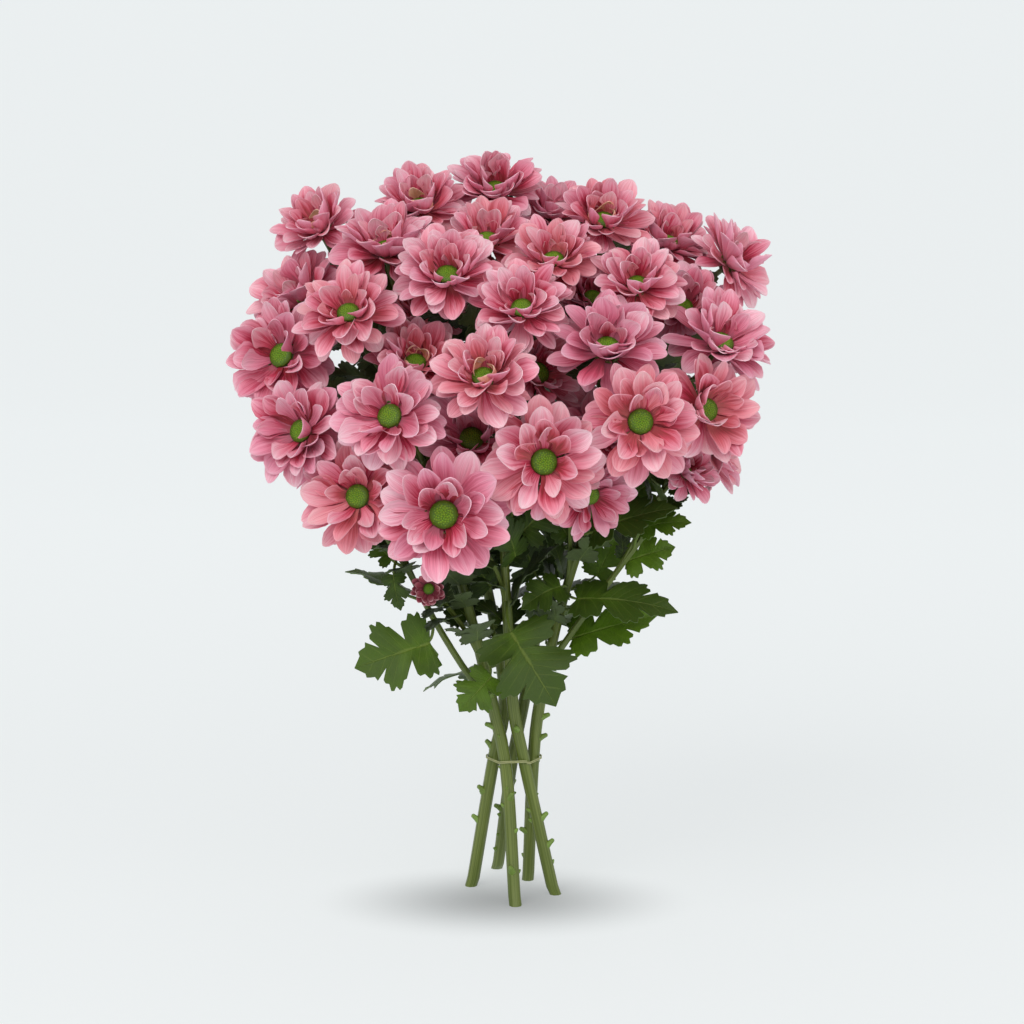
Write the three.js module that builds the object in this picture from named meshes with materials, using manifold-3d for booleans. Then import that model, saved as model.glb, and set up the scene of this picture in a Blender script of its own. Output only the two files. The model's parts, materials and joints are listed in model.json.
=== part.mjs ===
// A tied bunch of five cut spray chrysanthemums, standing on its cut stem ends.
// Millimetres, +Z up. Each stem carries side shoots, flower stalks, lobed leaves and the green
// button of every flower; each flower's pink petals are a ring trapped under that button.

import * as THREE from 'three';
import { mergeVertices } from 'three/addons/utils/BufferGeometryUtils.js';
import Module from 'manifold-3d';

const wasm = await Module();
wasm.setup();

// Driving dimensions, in millimetres and degrees
const MIDDLE = { x: -5.9, y: -2.3 }; // plan centre of the finished bunch, moved to the origin
const TIE_HEIGHT = 90;
const STEM_RADIUS = { foot: 4.4, crown: 2.6, taper: 200 };
const SHOOT_RADIUS = { root: 2.5, tip: 1.9 };
const STALK_RADIUS = 1.7;
const STEM_LEVELS = [30, 62, TIE_HEIGHT, 125, 160, 200, 245, 290];
const STEM_SIDES = 7;
const SHOOT_SIDES = 6;
const STALK_SIDES = 5;
const SHOOT_STEPS = 5;
const STALK_STEPS = [0, 0.5, 1];
const STALK_BEND = { root: 0.4, end: 0.38 }; // shares of its reach that a stalk runs along its stem and flower
const TWINE = { radius: 0.7, gap: 0.9, turns: 18, sides: 4 };
const FIT_GAP = 0.3;
const LEAF_THICK = 1.3;

// Flower proportions for a bloom 66 mm across; every radius and height scales with the bloom
const BLOOM = {
  width: 66,
  petals: 7,
  fewer: 6, // petals of a layer in flowers narrower than small and in those at the back
  small: 59,
  backFrom: 38,
  cup: { radius: 8.6, height: -1.6, foot: -9 },
  neck: { radius: 5.4, height: -0.2 },
  button: { radius: 6.8, height: 3.0, top: 4.8 },
  low: { radius: 9.7, height: -0.5 },
  mid: { radius: 9.9, height: 0.7 },
  high: { radius: 8.9, height: 1.5 },
  top: { radius: 7.8, height: 2.1 },
};
// Layers of petals: how far they rise, how much they curl, their size, the outline of one petal as
// shares of its length and half width, and the changes of rise tried to keep it clear. A large
// flower's outer petals are hollow in the face, all others flat.
const OUTER = {
  rise: 18, jitter: 10, curl: 8, reach: 1.0, width: 20.5, cup: 2.4,
  edge: [[0.6, -1], [0.97, -0.52], [0.97, 0.52], [0.6, 1]],
  shifts: [0, 5, -5, 10, -10, 15, -15, 21, -20, 28, -25, 36, 45],
};
const INNER = {
  rise: 48, jitter: 12, curl: 14, reach: 0.74, width: 14.5, cup: 2.2,
  edge: [[0.62, -1], [1, 0], [0.62, 1]],
  shifts: [0, 5, 10, 16, 22, 28, 35],
};
const STEEPEST = { outer: 60, inner: 80 };
const PETAL_MIDDLE = 0.54; // share of a petal's length where its middle lies
const PETAL_BEND = 0.6; // share of its length where its rise is the stated one
const PETAL_SHARE = 0.97; // share of its wedge round the flower that a petal may fill
const PETAL_THICK = 1.4;
const OPENING = 0.2; // how much a flower that looks up raises its inner petals
const LAYER_STEP = 22;
const SHORTER = [1, 0.9, 0.8, 0.7, 0.6, 0.5, 0.4, 0.3];
const EXTRA_RISE = { bud: 26, bloom_36: 14 }; // half open flowers hold their petals higher

// Main stems: points from the cut end to the crown
const STEMS = {
  a: [[-27, 5, 0], [-12, 3, 90], [-5, 5, 125], [-16, 16, 200], [-38, 25, 290], [-46, 22, 350]],
  b: [[-10, 44, 0], [1, 11, 90], [8, 11, 125], [22, 18, 200], [44, 26, 290], [48, 24, 350]],
  c: [[2, -37, 0], [-4.6, -10, 90], [-12, -9, 125], [-30, -16, 200], [-54, -24, 280], [-72, -26, 330]],
  d: [[11, 18, 0], [14.5, 4, 90], [18, -1, 125], [34, -8, 200], [60, -20, 285], [72, -22, 340]],
  e: [[28, -13, 0], [8, -8, 90], [1, -10, 125], [-3, -19, 190], [-6, -32, 270], [-4, -32, 340]],
};
// Side shoots: the stem each grows from and its points, the first one on that stem
const SHOOTS = {
  c2: { from: 'c', points: [[-12, -9, 126], [-31, -14, 153], [-52, -22, 190], [-65, -30, 218], [-84, -38, 250]] },
  d2: { from: 'd', points: [[22, -4, 150], [44, -16, 185], [64, -26, 215], [88, -36, 250]] },
};

// Flowers: centre x, y, z; turn from the front towards +X; lift above level; width; the stem or
// shoot it grows from and the height where its stalk leaves it
const FLOWERS = [
  ['bloom_01', -11, 29, 466, 0, 50, 60, 'a', 340],
  ['bloom_02', -60, 9, 455, -5, 50, 60, 'a', 330],
  ['bloom_03', 28, 59, 449, 20, 60, 58, 'b', 340],
  ['bloom_04', 59, -6, 446, 5, 48, 60, 'b', 345],
  ['bloom_05', -126, 14, 441, -30, 50, 57, 'a', 300],
  ['bloom_06', 103, 26, 431, 25, 52, 58, 'b', 320],
  ['bloom_07', 142, 1, 419, 60, 35, 60, 'd', 310],
  ['bloom_08', -16, -17, 434, 0, 55, 58, 'a', 335],
  ['bloom_09', -80, -33, 428, -8, 52, 64, 'a', 315],
  ['bloom_10', -104, 44, 408, -50, 60, 56, 'a', 290],
  ['bloom_11', 26, -49, 422, -5, 50, 58, 'b', 325],
  ['bloom_12', 78, -61, 407, 0, 45, 58, 'd', 335],
  ['bloom_13', 52, -14, 396, 10, 40, 56, 'd', 325],
  ['bloom_14', -40, -69, 413, 0, 45, 64, 'e', 335],
  ['bloom_15', 6, -93, 394, -8, 40, 58, 'e', 325],
  ['bloom_16', 109, -24, 391, 10, 40, 60, 'd', 320],
  ['bloom_17', -138, -5, 396, -45, 45, 62, 'c', 315],
  ['bloom_18', -101, -75, 390, -10, 42, 62, 'c', 325],
  ['bloom_19', -56, -10, 388, -20, 40, 56, 'e', 320],
  ['bloom_20', 58, -97, 370, 5, 42, 68, 'd', 290],
  ['bloom_21', 130, -67, 371, 25, 45, 68, 'd', 285],
  ['bloom_22', 16, -59, 352, 35, 28, 62, 'e', 300],
  ['bloom_23', -17, -123, 354, 0, 42, 62, 'e', 285],
  ['bloom_24', -60, -71, 359, 5, 45, 58, 'c', 290],
  ['bloom_25', -145, -46, 362, -25, 22, 70, 'c', 275],
  ['bloom_26', 77, -123, 328, 5, 12, 68, 'd', 250],
  ['bloom_27', 119, -90, 332, 25, 12, 64, 'd2', 240],
  ['bloom_28', 53, -51, 313, 5, 10, 56, 'd', 235],
  ['bloom_29', -25, -83, 313, 0, 30, 66, 'e', 250],
  ['bloom_30', -73, -122, 331, -18, 22, 66, 'c', 240],
  ['bloom_31', -130, -83, 318, -30, 15, 64, 'c2', 240],
  ['bloom_32', 19, -126, 304, 8, 10, 70, 'e', 215],
  ['bloom_33', -41, -132, 273, 0, 8, 76, 'e', 185],
  ['bloom_34', -94, -103, 280, -18, 14, 66, 'c2', 205],
  ['bloom_35', 48, -88, 279, 25, -8, 52, 'd', 200],
  ['bloom_36', 109, -58, 290, 45, 35, 42, 'd2', 215],
  ['bloom_37', -80, -43, 290, -30, 5, 54, 'c', 225],
  ['bloom_38', 20, 96, 424, 175, 50, 60, 'b', 300],
  ['bloom_39', -45, 78, 435, 205, 55, 62, 'a', 320],
  ['bloom_40', 80, 68, 415, 140, 50, 62, 'b', 310],
  ['bloom_41', -100, 81, 383, 215, 35, 64, 'a', 280],
  ['bloom_42', -40, 112, 385, 190, 35, 62, 'a', 270],
  ['bloom_43', 25, 124, 365, 178, 30, 64, 'b', 260],
  ['bloom_44', 88, 106, 365, 150, 30, 64, 'b', 270],
  ['bloom_45', 138, 48, 370, 110, 30, 62, 'b', 285],
  ['bloom_46', -143, 22, 350, 255, 25, 62, 'a', 255],
  ['bloom_47', -112, 78, 316, 228, 15, 62, 'a', 225],
  ['bloom_48', -52, 118, 316, 198, 12, 64, 'a', 210],
  ['bloom_49', 12, 130, 298, 180, 10, 64, 'b', 200],
  ['bloom_50', 74, 110, 298, 152, 12, 62, 'b', 215],
  ['bloom_51', 124, 52, 312, 112, 12, 62, 'b', 240],
  ['bloom_52', -124, 8, 292, 268, 5, 60, 'c2', 222],
  ['bloom_53', 128, -18, 300, 84, 8, 60, 'd', 232],
  ['bud', -53, -54, 214, -5, 15, 26, 'c', 146],
].map(([name, x, y, z, turn, lift, width, parent, height]) => {
  const plain = y > BLOOM.backFrom || width < BLOOM.small;
  return {
    name, at: new THREE.Vector3(x, y, z), axis: heading(turn, lift), lift, width, parent, height,
    plain, petals: plain ? BLOOM.fewer : BLOOM.petals, scale: width / BLOOM.width,
  };
});

// Leaves that the front shows: stem or shoot, height where the leaf stalk leaves it, points where
// the blade begins and ends, blade width, turn and lift of the way its upper face looks
const LEAVES_SEEN = [
  ['c2', 190, [-53, -30, 174], [-102, -34, 157], 48, -10, 20],
  ['e', 200, [-1, -43, 184], [26, -62, 138], 58, 5, 25],
  ['c', 166, [-13, -26, 151], [-33, -34, 128], 32, -10, 30],
  ['d', 202, [42, -30, 203], [107, -44, 197], 38, 5, 50],
  ['d', 166, [40, -4, 172], [97, -8, 183], 36, 10, 42],
  ['d', 240, [52, -48, 250], [104, -66, 264], 36, 0, 50],
  ['d2', 236, [84, -46, 252], [114, -56, 258], 22, 10, 45],
  ['d2', 214, [74, -20, 226], [107, -18, 234], 28, 10, 35],
  ['b', 196, [56, 6, 212], [70, 10, 238], 26, 10, 30],
  ['d', 250, [72, -14, 262], [96, -22, 284], 30, 15, 35],
  ['c2', 222, [-78, -26, 228], [-93, -18, 240], 18, -20, 40],
  ['c2', 232, [-76, -46, 222], [-72, -50, 199], 18, -20, 20],
  ['c', 244, [-32, -10, 228], [-44, -8, 194], 34, -10, 20],
  ['e', 226, [2, -36, 232], [-9, -54, 260], 28, 0, 40],
  ['d', 206, [32, -22, 210], [4, -34, 200], 28, 0, 40],
  ['c', 262, [-36, -24, 248], [-14, -18, 218], 36, 0, 20],
  ['a', 196, [-14, 12, 204], [-34, 8, 232], 40, -10, 15],
  ['a', 258, [-22, 20, 246], [-6, 16, 216], 36, 10, 15],
  ['b', 204, [16, 6, 212], [4, 0, 244], 38, 0, 15],
  ['b', 226, [38, 14, 232], [58, 8, 256], 38, 10, 15],
  ['e', 238, [6, -28, 246], [28, -24, 268], 34, 5, 25],
];
// Leaves round the rest of the bunch: stem or shoot, height, turn, lift, length, width
const LEAVES_AROUND = [
  ['a', 184, 214, 2, 68, 42],
  ['a', 232, 258, 10, 66, 42],
  ['a', 262, 186, 4, 64, 42],
  ['b', 176, 142, 0, 70, 44],
  ['b', 226, 104, 10, 64, 42],
  ['b', 256, 176, 4, 62, 42],
  ['a', 152, 254, -22, 60, 40],
  ['b', 150, 186, -24, 62, 42],
  ['c2', 200, 262, 20, 56, 38],
  ['d', 190, 92, 16, 60, 40],
];
const AROUND = { stalk: 0.24, faceLift: 52 };
// Half of a lobed leaf from the end of its stalk to its tip: share of the length, share of the width
const LEAF_EDGE = [
  [-0.04, 0.3], [0.12, 0.46], [0.26, 0.36], [0.27, 0.16], [0.4, 0.36], [0.6, 0.5], [0.64, 0.3],
  [0.6, 0.16], [0.76, 0.27],
];
const LEAF_RIB = [0.28, 0.5];
const LEAF_FORM = { arch: 0.07, fold: 0.2, stalkHalf: 1.1, stalkThick: 0.8 };

// Stubs of stripped leaves on the bare stems: stem, height, turn
const STUBS = [
  ['a', 45, -90], ['a', 66, -70], ['a', 96, -95],
  ['b', 48, -80], ['b', 64, 150],
  ['c', 20, -10], ['c', 66, 20], ['c', 114, -85],
  ['d', 36, -60], ['d', 103, 85], ['d', 118, 80],
  ['e', 32, 80], ['e', 50, 85], ['e', 112, 0],
];
const STUB = { radius: 2.6, length: 9.5, sides: 4, lean: 0.6, sink: 1.6 };

const CUT_DEPTH = 8; // the stems are drawn this far below the ground, then cut level
const GROUND = { width: 400, thick: 40 };

// A repeatable number from 0 to 1 for a pair of counts
function chance(i, j) {
  const s = Math.sin(i * 127.1 + j * 311.7) * 43758.5453;
  return s - Math.floor(s);
}

// The unit vector that a turn from the front and a lift above level point along
function heading(turn, lift) {
  const [t, l] = [THREE.MathUtils.degToRad(turn), THREE.MathUtils.degToRad(lift)];
  return new THREE.Vector3(Math.sin(t) * Math.cos(l), -Math.cos(t) * Math.cos(l), Math.sin(l));
}

// Two unit vectors square to an axis, the second along its upper side
function squareTo(axis) {
  const side = new THREE.Vector3(0, 0, 1).cross(axis).normalize();
  return [side, new THREE.Vector3().crossVectors(axis, side).normalize()];
}

function solidFrom(positions, triangles) {
  return new wasm.Manifold(new wasm.Mesh({
    numProp: 3,
    vertProperties: new Float32Array(positions.flatMap((p) => [p.x, p.y, p.z])),
    triVerts: new Uint32Array(triangles.flat()),
  }));
}

function solidFromGeometry(geometry) {
  const bare = geometry.toNonIndexed();
  bare.deleteAttribute('normal');
  bare.deleteAttribute('uv');
  const merged = mergeVertices(bare, 1e-4);
  return new wasm.Manifold(new wasm.Mesh({
    numProp: 3,
    vertProperties: merged.attributes.position.array,
    triVerts: new Uint32Array(merged.index.array),
  }));
}

function geometryFrom(solid) {
  const mesh = solid.getMesh();
  const geometry = new THREE.BufferGeometry();
  geometry.setAttribute('position', new THREE.BufferAttribute(mesh.vertProperties, 3));
  geometry.setIndex(new THREE.BufferAttribute(mesh.triVerts, 1));
  geometry.computeVertexNormals();
  return geometry;
}

// A closed tube through points, with a radius at each and, where given, a point as its tip
function tubeSolid(points, radii, sides, tip = null) {
  const vertices = [];
  let across = null;
  points.forEach((point, i) => {
    const before = points[Math.max(i - 1, 0)];
    const after = points[Math.min(i + 1, points.length - 1)];
    const along = after.clone().sub(before).normalize();
    across = across ? across.addScaledVector(along, -across.dot(along)).normalize() : squareTo(along)[0];
    const other = new THREE.Vector3().crossVectors(along, across);
    for (let k = 0; k < sides; k += 1) {
      const angle = (k / sides) * 2 * Math.PI;
      vertices.push(point.clone()
        .addScaledVector(across, Math.cos(angle) * radii[i])
        .addScaledVector(other, Math.sin(angle) * radii[i]));
    }
  });
  const triangles = [];
  for (let i = 0; i + 1 < points.length; i += 1) {
    for (let k = 0; k < sides; k += 1) {
      const [p, q] = [i * sides + k, i * sides + ((k + 1) % sides)];
      triangles.push([p, q, q + sides], [p, q + sides, p + sides]);
    }
  }
  for (let k = 1; k + 1 < sides; k += 1) triangles.push([0, k + 1, k]);
  const last = (points.length - 1) * sides;
  if (tip) {
    const end = vertices.push(tip) - 1;
    for (let k = 0; k < sides; k += 1) triangles.push([last + k, last + ((k + 1) % sides), end]);
  } else {
    for (let k = 1; k + 1 < sides; k += 1) triangles.push([last, last + k, last + k + 1]);
  }
  return solidFrom(vertices, triangles);
}

// The main stems and side shoots as smooth curves by name
const CURVES = {};
const throughPoints = (points) => new THREE.CatmullRomCurve3(
  points.map((p) => new THREE.Vector3(...p)), false, 'centripetal');
Object.entries(STEMS).forEach(([name, points]) => { CURVES[name] = throughPoints(points); });
Object.entries(SHOOTS).forEach(([name, shoot]) => { CURVES[name] = throughPoints(shoot.points); });

// Where a stem or shoot passes a height, found by halving
function atHeight(name, height) {
  let [low, high] = [0, 1];
  for (let i = 0; i < 30; i += 1) {
    const middle = (low + high) / 2;
    if (CURVES[name].getPoint(middle).z < height) low = middle;
    else high = middle;
  }
  return { point: CURVES[name].getPoint(low), along: CURVES[name].getTangent(low) };
}

// A point on a flower's axis, at a height above its ring of petals
const onAxis = (flower, height) => (
  flower.at.clone().addScaledVector(flower.axis, height * flower.scale));

// A flower's stalk: a smooth curve from its stem to the foot of its cup
function stalkCurve(flower) {
  const root = atHeight(flower.parent, flower.height);
  const end = onAxis(flower, BLOOM.cup.foot);
  const reach = root.point.distanceTo(end);
  return new THREE.CubicBezierCurve3(
    root.point,
    root.point.clone().addScaledVector(root.along, reach * STALK_BEND.root),
    end.clone().addScaledVector(flower.axis, -reach * STALK_BEND.end),
    end);
}

// The stalk with the flower's green cup, neck and domed button on its end
function stalkSolid(flower) {
  const curve = stalkCurve(flower);
  const points = STALK_STEPS.map((t) => curve.getPoint(t));
  const radii = points.map(() => Math.min(STALK_RADIUS, BLOOM.neck.radius * flower.scale));
  [BLOOM.cup, BLOOM.neck, BLOOM.button].forEach((level) => {
    points.push(onAxis(flower, level.height));
    radii.push(level.radius * flower.scale);
  });
  return tubeSolid(points, radii, STALK_SIDES, onAxis(flower, BLOOM.button.top));
}

// Triangles of one petal over its points: root corners right low, left low, right high and left
// high, then its edge, the middle of its back and, where its face is hollow, the middle of that
function skinTriangles(layer, hollow) {
  const rim = layer.edge.map((_, i) => 4 + i);
  const [back, face] = [4 + rim.length, 5 + rim.length];
  const above = [2, ...rim, 3];
  const below = [0, ...rim, 1];
  const triangles = [[0, rim[0], 2], [3, rim[rim.length - 1], 1]];
  below.forEach((v, i) => triangles.push([back, below[(i + 1) % below.length], v]));
  if (hollow) above.forEach((v, i) => triangles.push([face, v, above[(i + 1) % above.length]]));
  for (let [i, j] = [0, above.length - 1]; !hollow && j - i > 1; j -= 1) {
    triangles.push([above[i], above[i + 1], above[j]]);
    i += 1;
    if (j - i > 1) triangles.push([above[i], above[j - 1], above[j]]);
  }
  return triangles;
}
const isHollow = (flower, layer) => layer === OUTER && !flower.plain;
const ROOT_CAP = [[0, 2, 3], [0, 3, 1]];

// One petal's points after its four root corners
function petalPoints(flower, layer, azimuth, rise, reach, root) {
  const [e1, e2] = squareTo(flower.axis);
  const out = e1.clone().multiplyScalar(Math.cos(azimuth)).addScaledVector(e2, Math.sin(azimuth));
  const side = new THREE.Vector3().crossVectors(flower.axis, out);
  const { scale } = flower;
  const start = root.radius * scale;
  const length = ((flower.width / 2 - start) / Math.cos(THREE.MathUtils.degToRad(OUTER.rise))) * reach;
  const wedge = Math.tan(Math.PI / flower.petals) * PETAL_SHARE;
  const cup = (layer.cup * scale * reach) / layer.reach;
  const widest = (layer.width * scale * BLOOM.petals) / flower.petals / 2;
  const place = (along, across, depth) => {
    const angle = THREE.MathUtils.degToRad(rise + layer.curl * (along - PETAL_BEND));
    const raise = cup * across * across - depth;
    const radius = start + length * along * Math.cos(angle) - raise * Math.sin(angle);
    return onAxis(flower, root.height)
      .addScaledVector(flower.axis, length * along * Math.sin(angle) + raise * Math.cos(angle))
      .addScaledVector(out, radius)
      .addScaledVector(side, Math.min(widest, radius * wedge) * across);
  };
  const rim = layer.edge.map(([along, across]) => place(along, across, 0));
  const middle = place(PETAL_MIDDLE, 0, 0);
  return isHollow(flower, layer) ? [...rim, place(PETAL_MIDDLE, 0, PETAL_THICK), middle] : [...rim, middle];
}

// Everything laid so far that a petal keeps clear of, with the flower it belongs to
const laid = [];
function lay(solid, owner) {
  laid.push({ solid, owner, box: solid.boundingBox() });
}
const near = (a, b) => [0, 1, 2].every((i) => (
  a.min[i] - FIT_GAP < b.max[i] && b.min[i] - FIT_GAP < a.max[i]));

// A petal is raised or lowered, and where that is not enough shortened, until it is clear of all
// that is laid before it
function settlePetal(flower, layer, azimuth, rises, root, corners) {
  const triangles = [...skinTriangles(layer, isHollow(flower, layer)), ...ROOT_CAP];
  let tried = null;
  for (const shorter of SHORTER) {
    for (const rise of rises) {
      const points = petalPoints(flower, layer, azimuth, rise, layer.reach * shorter, root);
      const solid = solidFrom([...corners, ...points], triangles);
      const box = solid.boundingBox();
      const clear = laid.every((other) => other.owner === flower.name || !near(box, other.box)
        || solid.minGap(other.solid, FIT_GAP) >= FIT_GAP);
      tried = { points, rise, solid };
      if (clear) {
        lay(solid, flower.name);
        return tried;
      }
    }
  }
  lay(tried.solid, flower.name);
  return tried;
}

// A flower's petals: two layers round a ring, each petal grown from one side of the ring
function bloomSolid(flower, seed) {
  const n = flower.petals;
  const step = (2 * Math.PI) / n;
  const start = chance(seed, 1) * step;
  const [e1, e2] = squareTo(flower.axis);
  const snug = (Math.cos(Math.PI / BLOOM.petals) / Math.cos(Math.PI / n)) * flower.scale;
  const extra = EXTRA_RISE[flower.name] ?? 0;
  const vertices = [];
  const triangles = [];
  const ringRow = ({ radius, height }, offset) => Array.from({ length: n }, (_, k) => {
    const angle = start + (k + offset) * step;
    return vertices.push(onAxis(flower, height)
      .addScaledVector(e1, Math.cos(angle) * radius * snug)
      .addScaledVector(e2, Math.sin(angle) * radius * snug)) - 1;
  });
  const low = ringRow(BLOOM.low, 0.5);
  const mid = ringRow(BLOOM.mid, 0.5);
  const high = ringRow(BLOOM.high, 0);
  const top = ringRow(BLOOM.top, 0);
  const at = (row, k) => row[(k + n) % n];

  // Lays one petal and joins its skin to the ring
  const addPetal = (layer, azimuth, rises, root, corners) => {
    const petal = settlePetal(flower, layer, azimuth, rises, root, corners.map((v) => vertices[v]));
    const ids = [...corners, ...petal.points.map((point) => vertices.push(point) - 1)];
    skinTriangles(layer, isHollow(flower, layer)).forEach((t) => triangles.push(t.map((v) => ids[v])));
    return petal.rise;
  };
  const settled = [];
  for (let k = 0; k < n; k += 1) {
    const rest = OUTER.rise + extra + OUTER.jitter * (chance(seed, k + 10) - 0.5);
    const rises = OUTER.shifts.map((shift) => Math.min(rest + shift, STEEPEST.outer));
    settled.push(addPetal(OUTER, start + k * step, rises, BLOOM.mid,
      [at(low, k - 1), at(low, k), at(mid, k - 1), at(mid, k)]));
  }
  for (let k = 0; k < n; k += 1) {
    const under = Math.max(settled[k], at(settled, k + 1)) + LAYER_STEP;
    const open = INNER.rise + extra + flower.lift * OPENING + INNER.jitter * (chance(seed, k + 30) - 0.5);
    const rises = INNER.shifts.map((shift) => Math.min(Math.max(open, under) + shift, STEEPEST.inner));
    addPetal(INNER, start + (k + 0.5) * step, rises, BLOOM.high,
      [at(high, k), at(high, k + 1), at(top, k), at(top, k + 1)]);
    triangles.push(
      [at(mid, k - 1), at(mid, k), at(high, k)],
      [at(mid, k), at(high, k + 1), at(high, k)],
      [at(top, k), at(top, k + 1), at(low, k)],
      [at(low, k), at(low, k - 1), at(top, k)]);
  }
  return solidFrom(vertices, triangles);
}

// The leaves of both lists in one form
const LEAVES = [
  ...LEAVES_SEEN.map(([parent, height, base, tip, width, faceTurn, faceLift]) => ({
    parent, height, base: new THREE.Vector3(...base), tip: new THREE.Vector3(...tip), width,
    face: heading(faceTurn, faceLift),
  })),
  ...LEAVES_AROUND.map(([parent, height, turn, lift, length, width]) => {
    const way = heading(turn, lift);
    const root = atHeight(parent, height).point;
    return {
      parent, height, width, face: heading(turn, AROUND.faceLift),
      base: root.clone().addScaledVector(way, length * AROUND.stalk),
      tip: root.clone().addScaledVector(way, length),
    };
  }),
];

// A lobed leaf: a stalk of four sides from the stem's centre, then one thin arched blade
function leafSolid({ parent, height, base, tip, width, face }) {
  const root = atHeight(parent, height).point;
  const along = tip.clone().sub(base);
  const length = along.length();
  along.normalize();
  const side = new THREE.Vector3().crossVectors(along, face).normalize();
  const over = new THREE.Vector3().crossVectors(side, along);
  const vertices = [];
  const put = (point) => vertices.push(point) - 1;
  const place = (share, half, depth) => base.clone()
    .addScaledVector(along, share * length)
    .addScaledVector(side, half * width)
    .addScaledVector(over, Math.abs(half) * LEAF_FORM.fold * width
      + LEAF_FORM.arch * length * 4 * share * (1 - share) - depth);
  const stalkRing = (centre) => [
    [-LEAF_FORM.stalkHalf, 0], [0, LEAF_FORM.stalkThick], [LEAF_FORM.stalkHalf, 0], [0, -LEAF_FORM.stalkThick],
  ].map(([s, o]) => put(centre.clone().addScaledVector(side, s).addScaledVector(over, o)));
  const first = stalkRing(root);
  const second = stalkRing(base);
  const triangles = [[first[0], first[2], first[1]], [first[0], first[3], first[2]]];
  for (let k = 0; k < 4; k += 1) {
    const next = (k + 1) % 4;
    triangles.push([first[k], second[next], second[k]], [first[k], first[next], second[next]]);
  }
  const end = put(place(1, 0, LEAF_THICK / 2));
  const rims = [-1, 1].map((hand) => LEAF_EDGE.map(([s, w]) => put(place(s, w * hand, LEAF_THICK / 2))));
  const ribs = [0, LEAF_THICK].map((depth) => LEAF_RIB.map((s) => put(place(s, 0, depth))));

  // One half of one face, a strip between the rib and the edge, from the stalk to the tip
  const addStrip = (rib, rim, flip) => {
    const shares = [0, ...LEAF_EDGE.map(([s]) => s), 1];
    let [i, j] = [0, 0];
    while (i + 1 < rim.length || j + 1 < rib.length) {
      const ribNext = j + 1 < rib.length && (i + 1 >= rim.length || LEAF_RIB[j] <= shares[i + 1]);
      const third = ribNext ? rib[j + 1] : rim[i + 1];
      triangles.push(flip ? [rib[j], third, rim[i]] : [rib[j], rim[i], third]);
      if (ribNext) j += 1;
      else i += 1;
    }
  };
  const edges = [[second[0], ...rims[0], end], [second[2], ...rims[1], end]];
  addStrip([second[1], ...ribs[0]], edges[0], true);
  addStrip([second[1], ...ribs[0]], edges[1], false);
  addStrip([second[3], ...ribs[1]], edges[0], false);
  addStrip([second[3], ...ribs[1]], edges[1], true);
  return solidFrom(vertices, triangles);
}

function stubSolid([stem, height, turn]) {
  const { point, along } = atHeight(stem, height);
  const out = heading(turn, 0);
  out.addScaledVector(along, -out.dot(along)).normalize();
  const lean = out.clone().addScaledVector(along, STUB.lean).normalize();
  const cone = new THREE.ConeGeometry(STUB.radius, STUB.length, STUB.sides);
  cone.applyQuaternion(new THREE.Quaternion().setFromUnitVectors(new THREE.Vector3(0, 1, 0), lean));
  const centre = point.clone().addScaledVector(out, STUB.sink).addScaledVector(lean, STUB.length / 2);
  cone.translate(centre.x, centre.y, centre.z);
  return solidFromGeometry(cone);
}

// One leafy stem: the main stem with its shoots, stalks, buttons, leaves and stubs in one body
function spraySolid(name) {
  const shoots = Object.keys(SHOOTS).filter((shoot) => SHOOTS[shoot].from === name);
  const members = [name, ...shoots];
  const foot = CURVES[name].getPoint(0).addScaledVector(CURVES[name].getTangent(0), -CUT_DEPTH);
  const points = [foot, ...STEM_LEVELS.map((z) => atHeight(name, z).point), CURVES[name].getPoint(1)];
  const radii = points.map((p) => THREE.MathUtils.lerp(STEM_RADIUS.foot, STEM_RADIUS.crown,
    THREE.MathUtils.clamp((p.z - TIE_HEIGHT) / STEM_RADIUS.taper, 0, 1)));
  let solid = tubeSolid(points, radii, STEM_SIDES);
  shoots.forEach((shoot) => {
    const line = CURVES[shoot].getSpacedPoints(SHOOT_STEPS);
    const taper = line.map((_, i) => (
      THREE.MathUtils.lerp(SHOOT_RADIUS.root, SHOOT_RADIUS.tip, i / SHOOT_STEPS)));
    solid = solid.add(tubeSolid(line, taper, SHOOT_SIDES));
  });
  LEAVES.filter((leaf) => members.includes(leaf.parent))
    .forEach((leaf) => { solid = solid.add(leafSolid(leaf)); });
  lay(solid, null);
  FLOWERS.filter((flower) => members.includes(flower.parent)).forEach((flower) => {
    const stalk = stalkSolid(flower);
    lay(stalk, flower.name);
    solid = solid.add(stalk);
  });
  STUBS.filter(([stem]) => stem === name).forEach((stub) => { solid = solid.add(stubSolid(stub)); });
  const ground = new THREE.BoxGeometry(GROUND.width, GROUND.width, GROUND.thick);
  ground.translate(0, 0, -GROUND.thick / 2);
  return solid.subtract(solidFromGeometry(ground));
}

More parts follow.
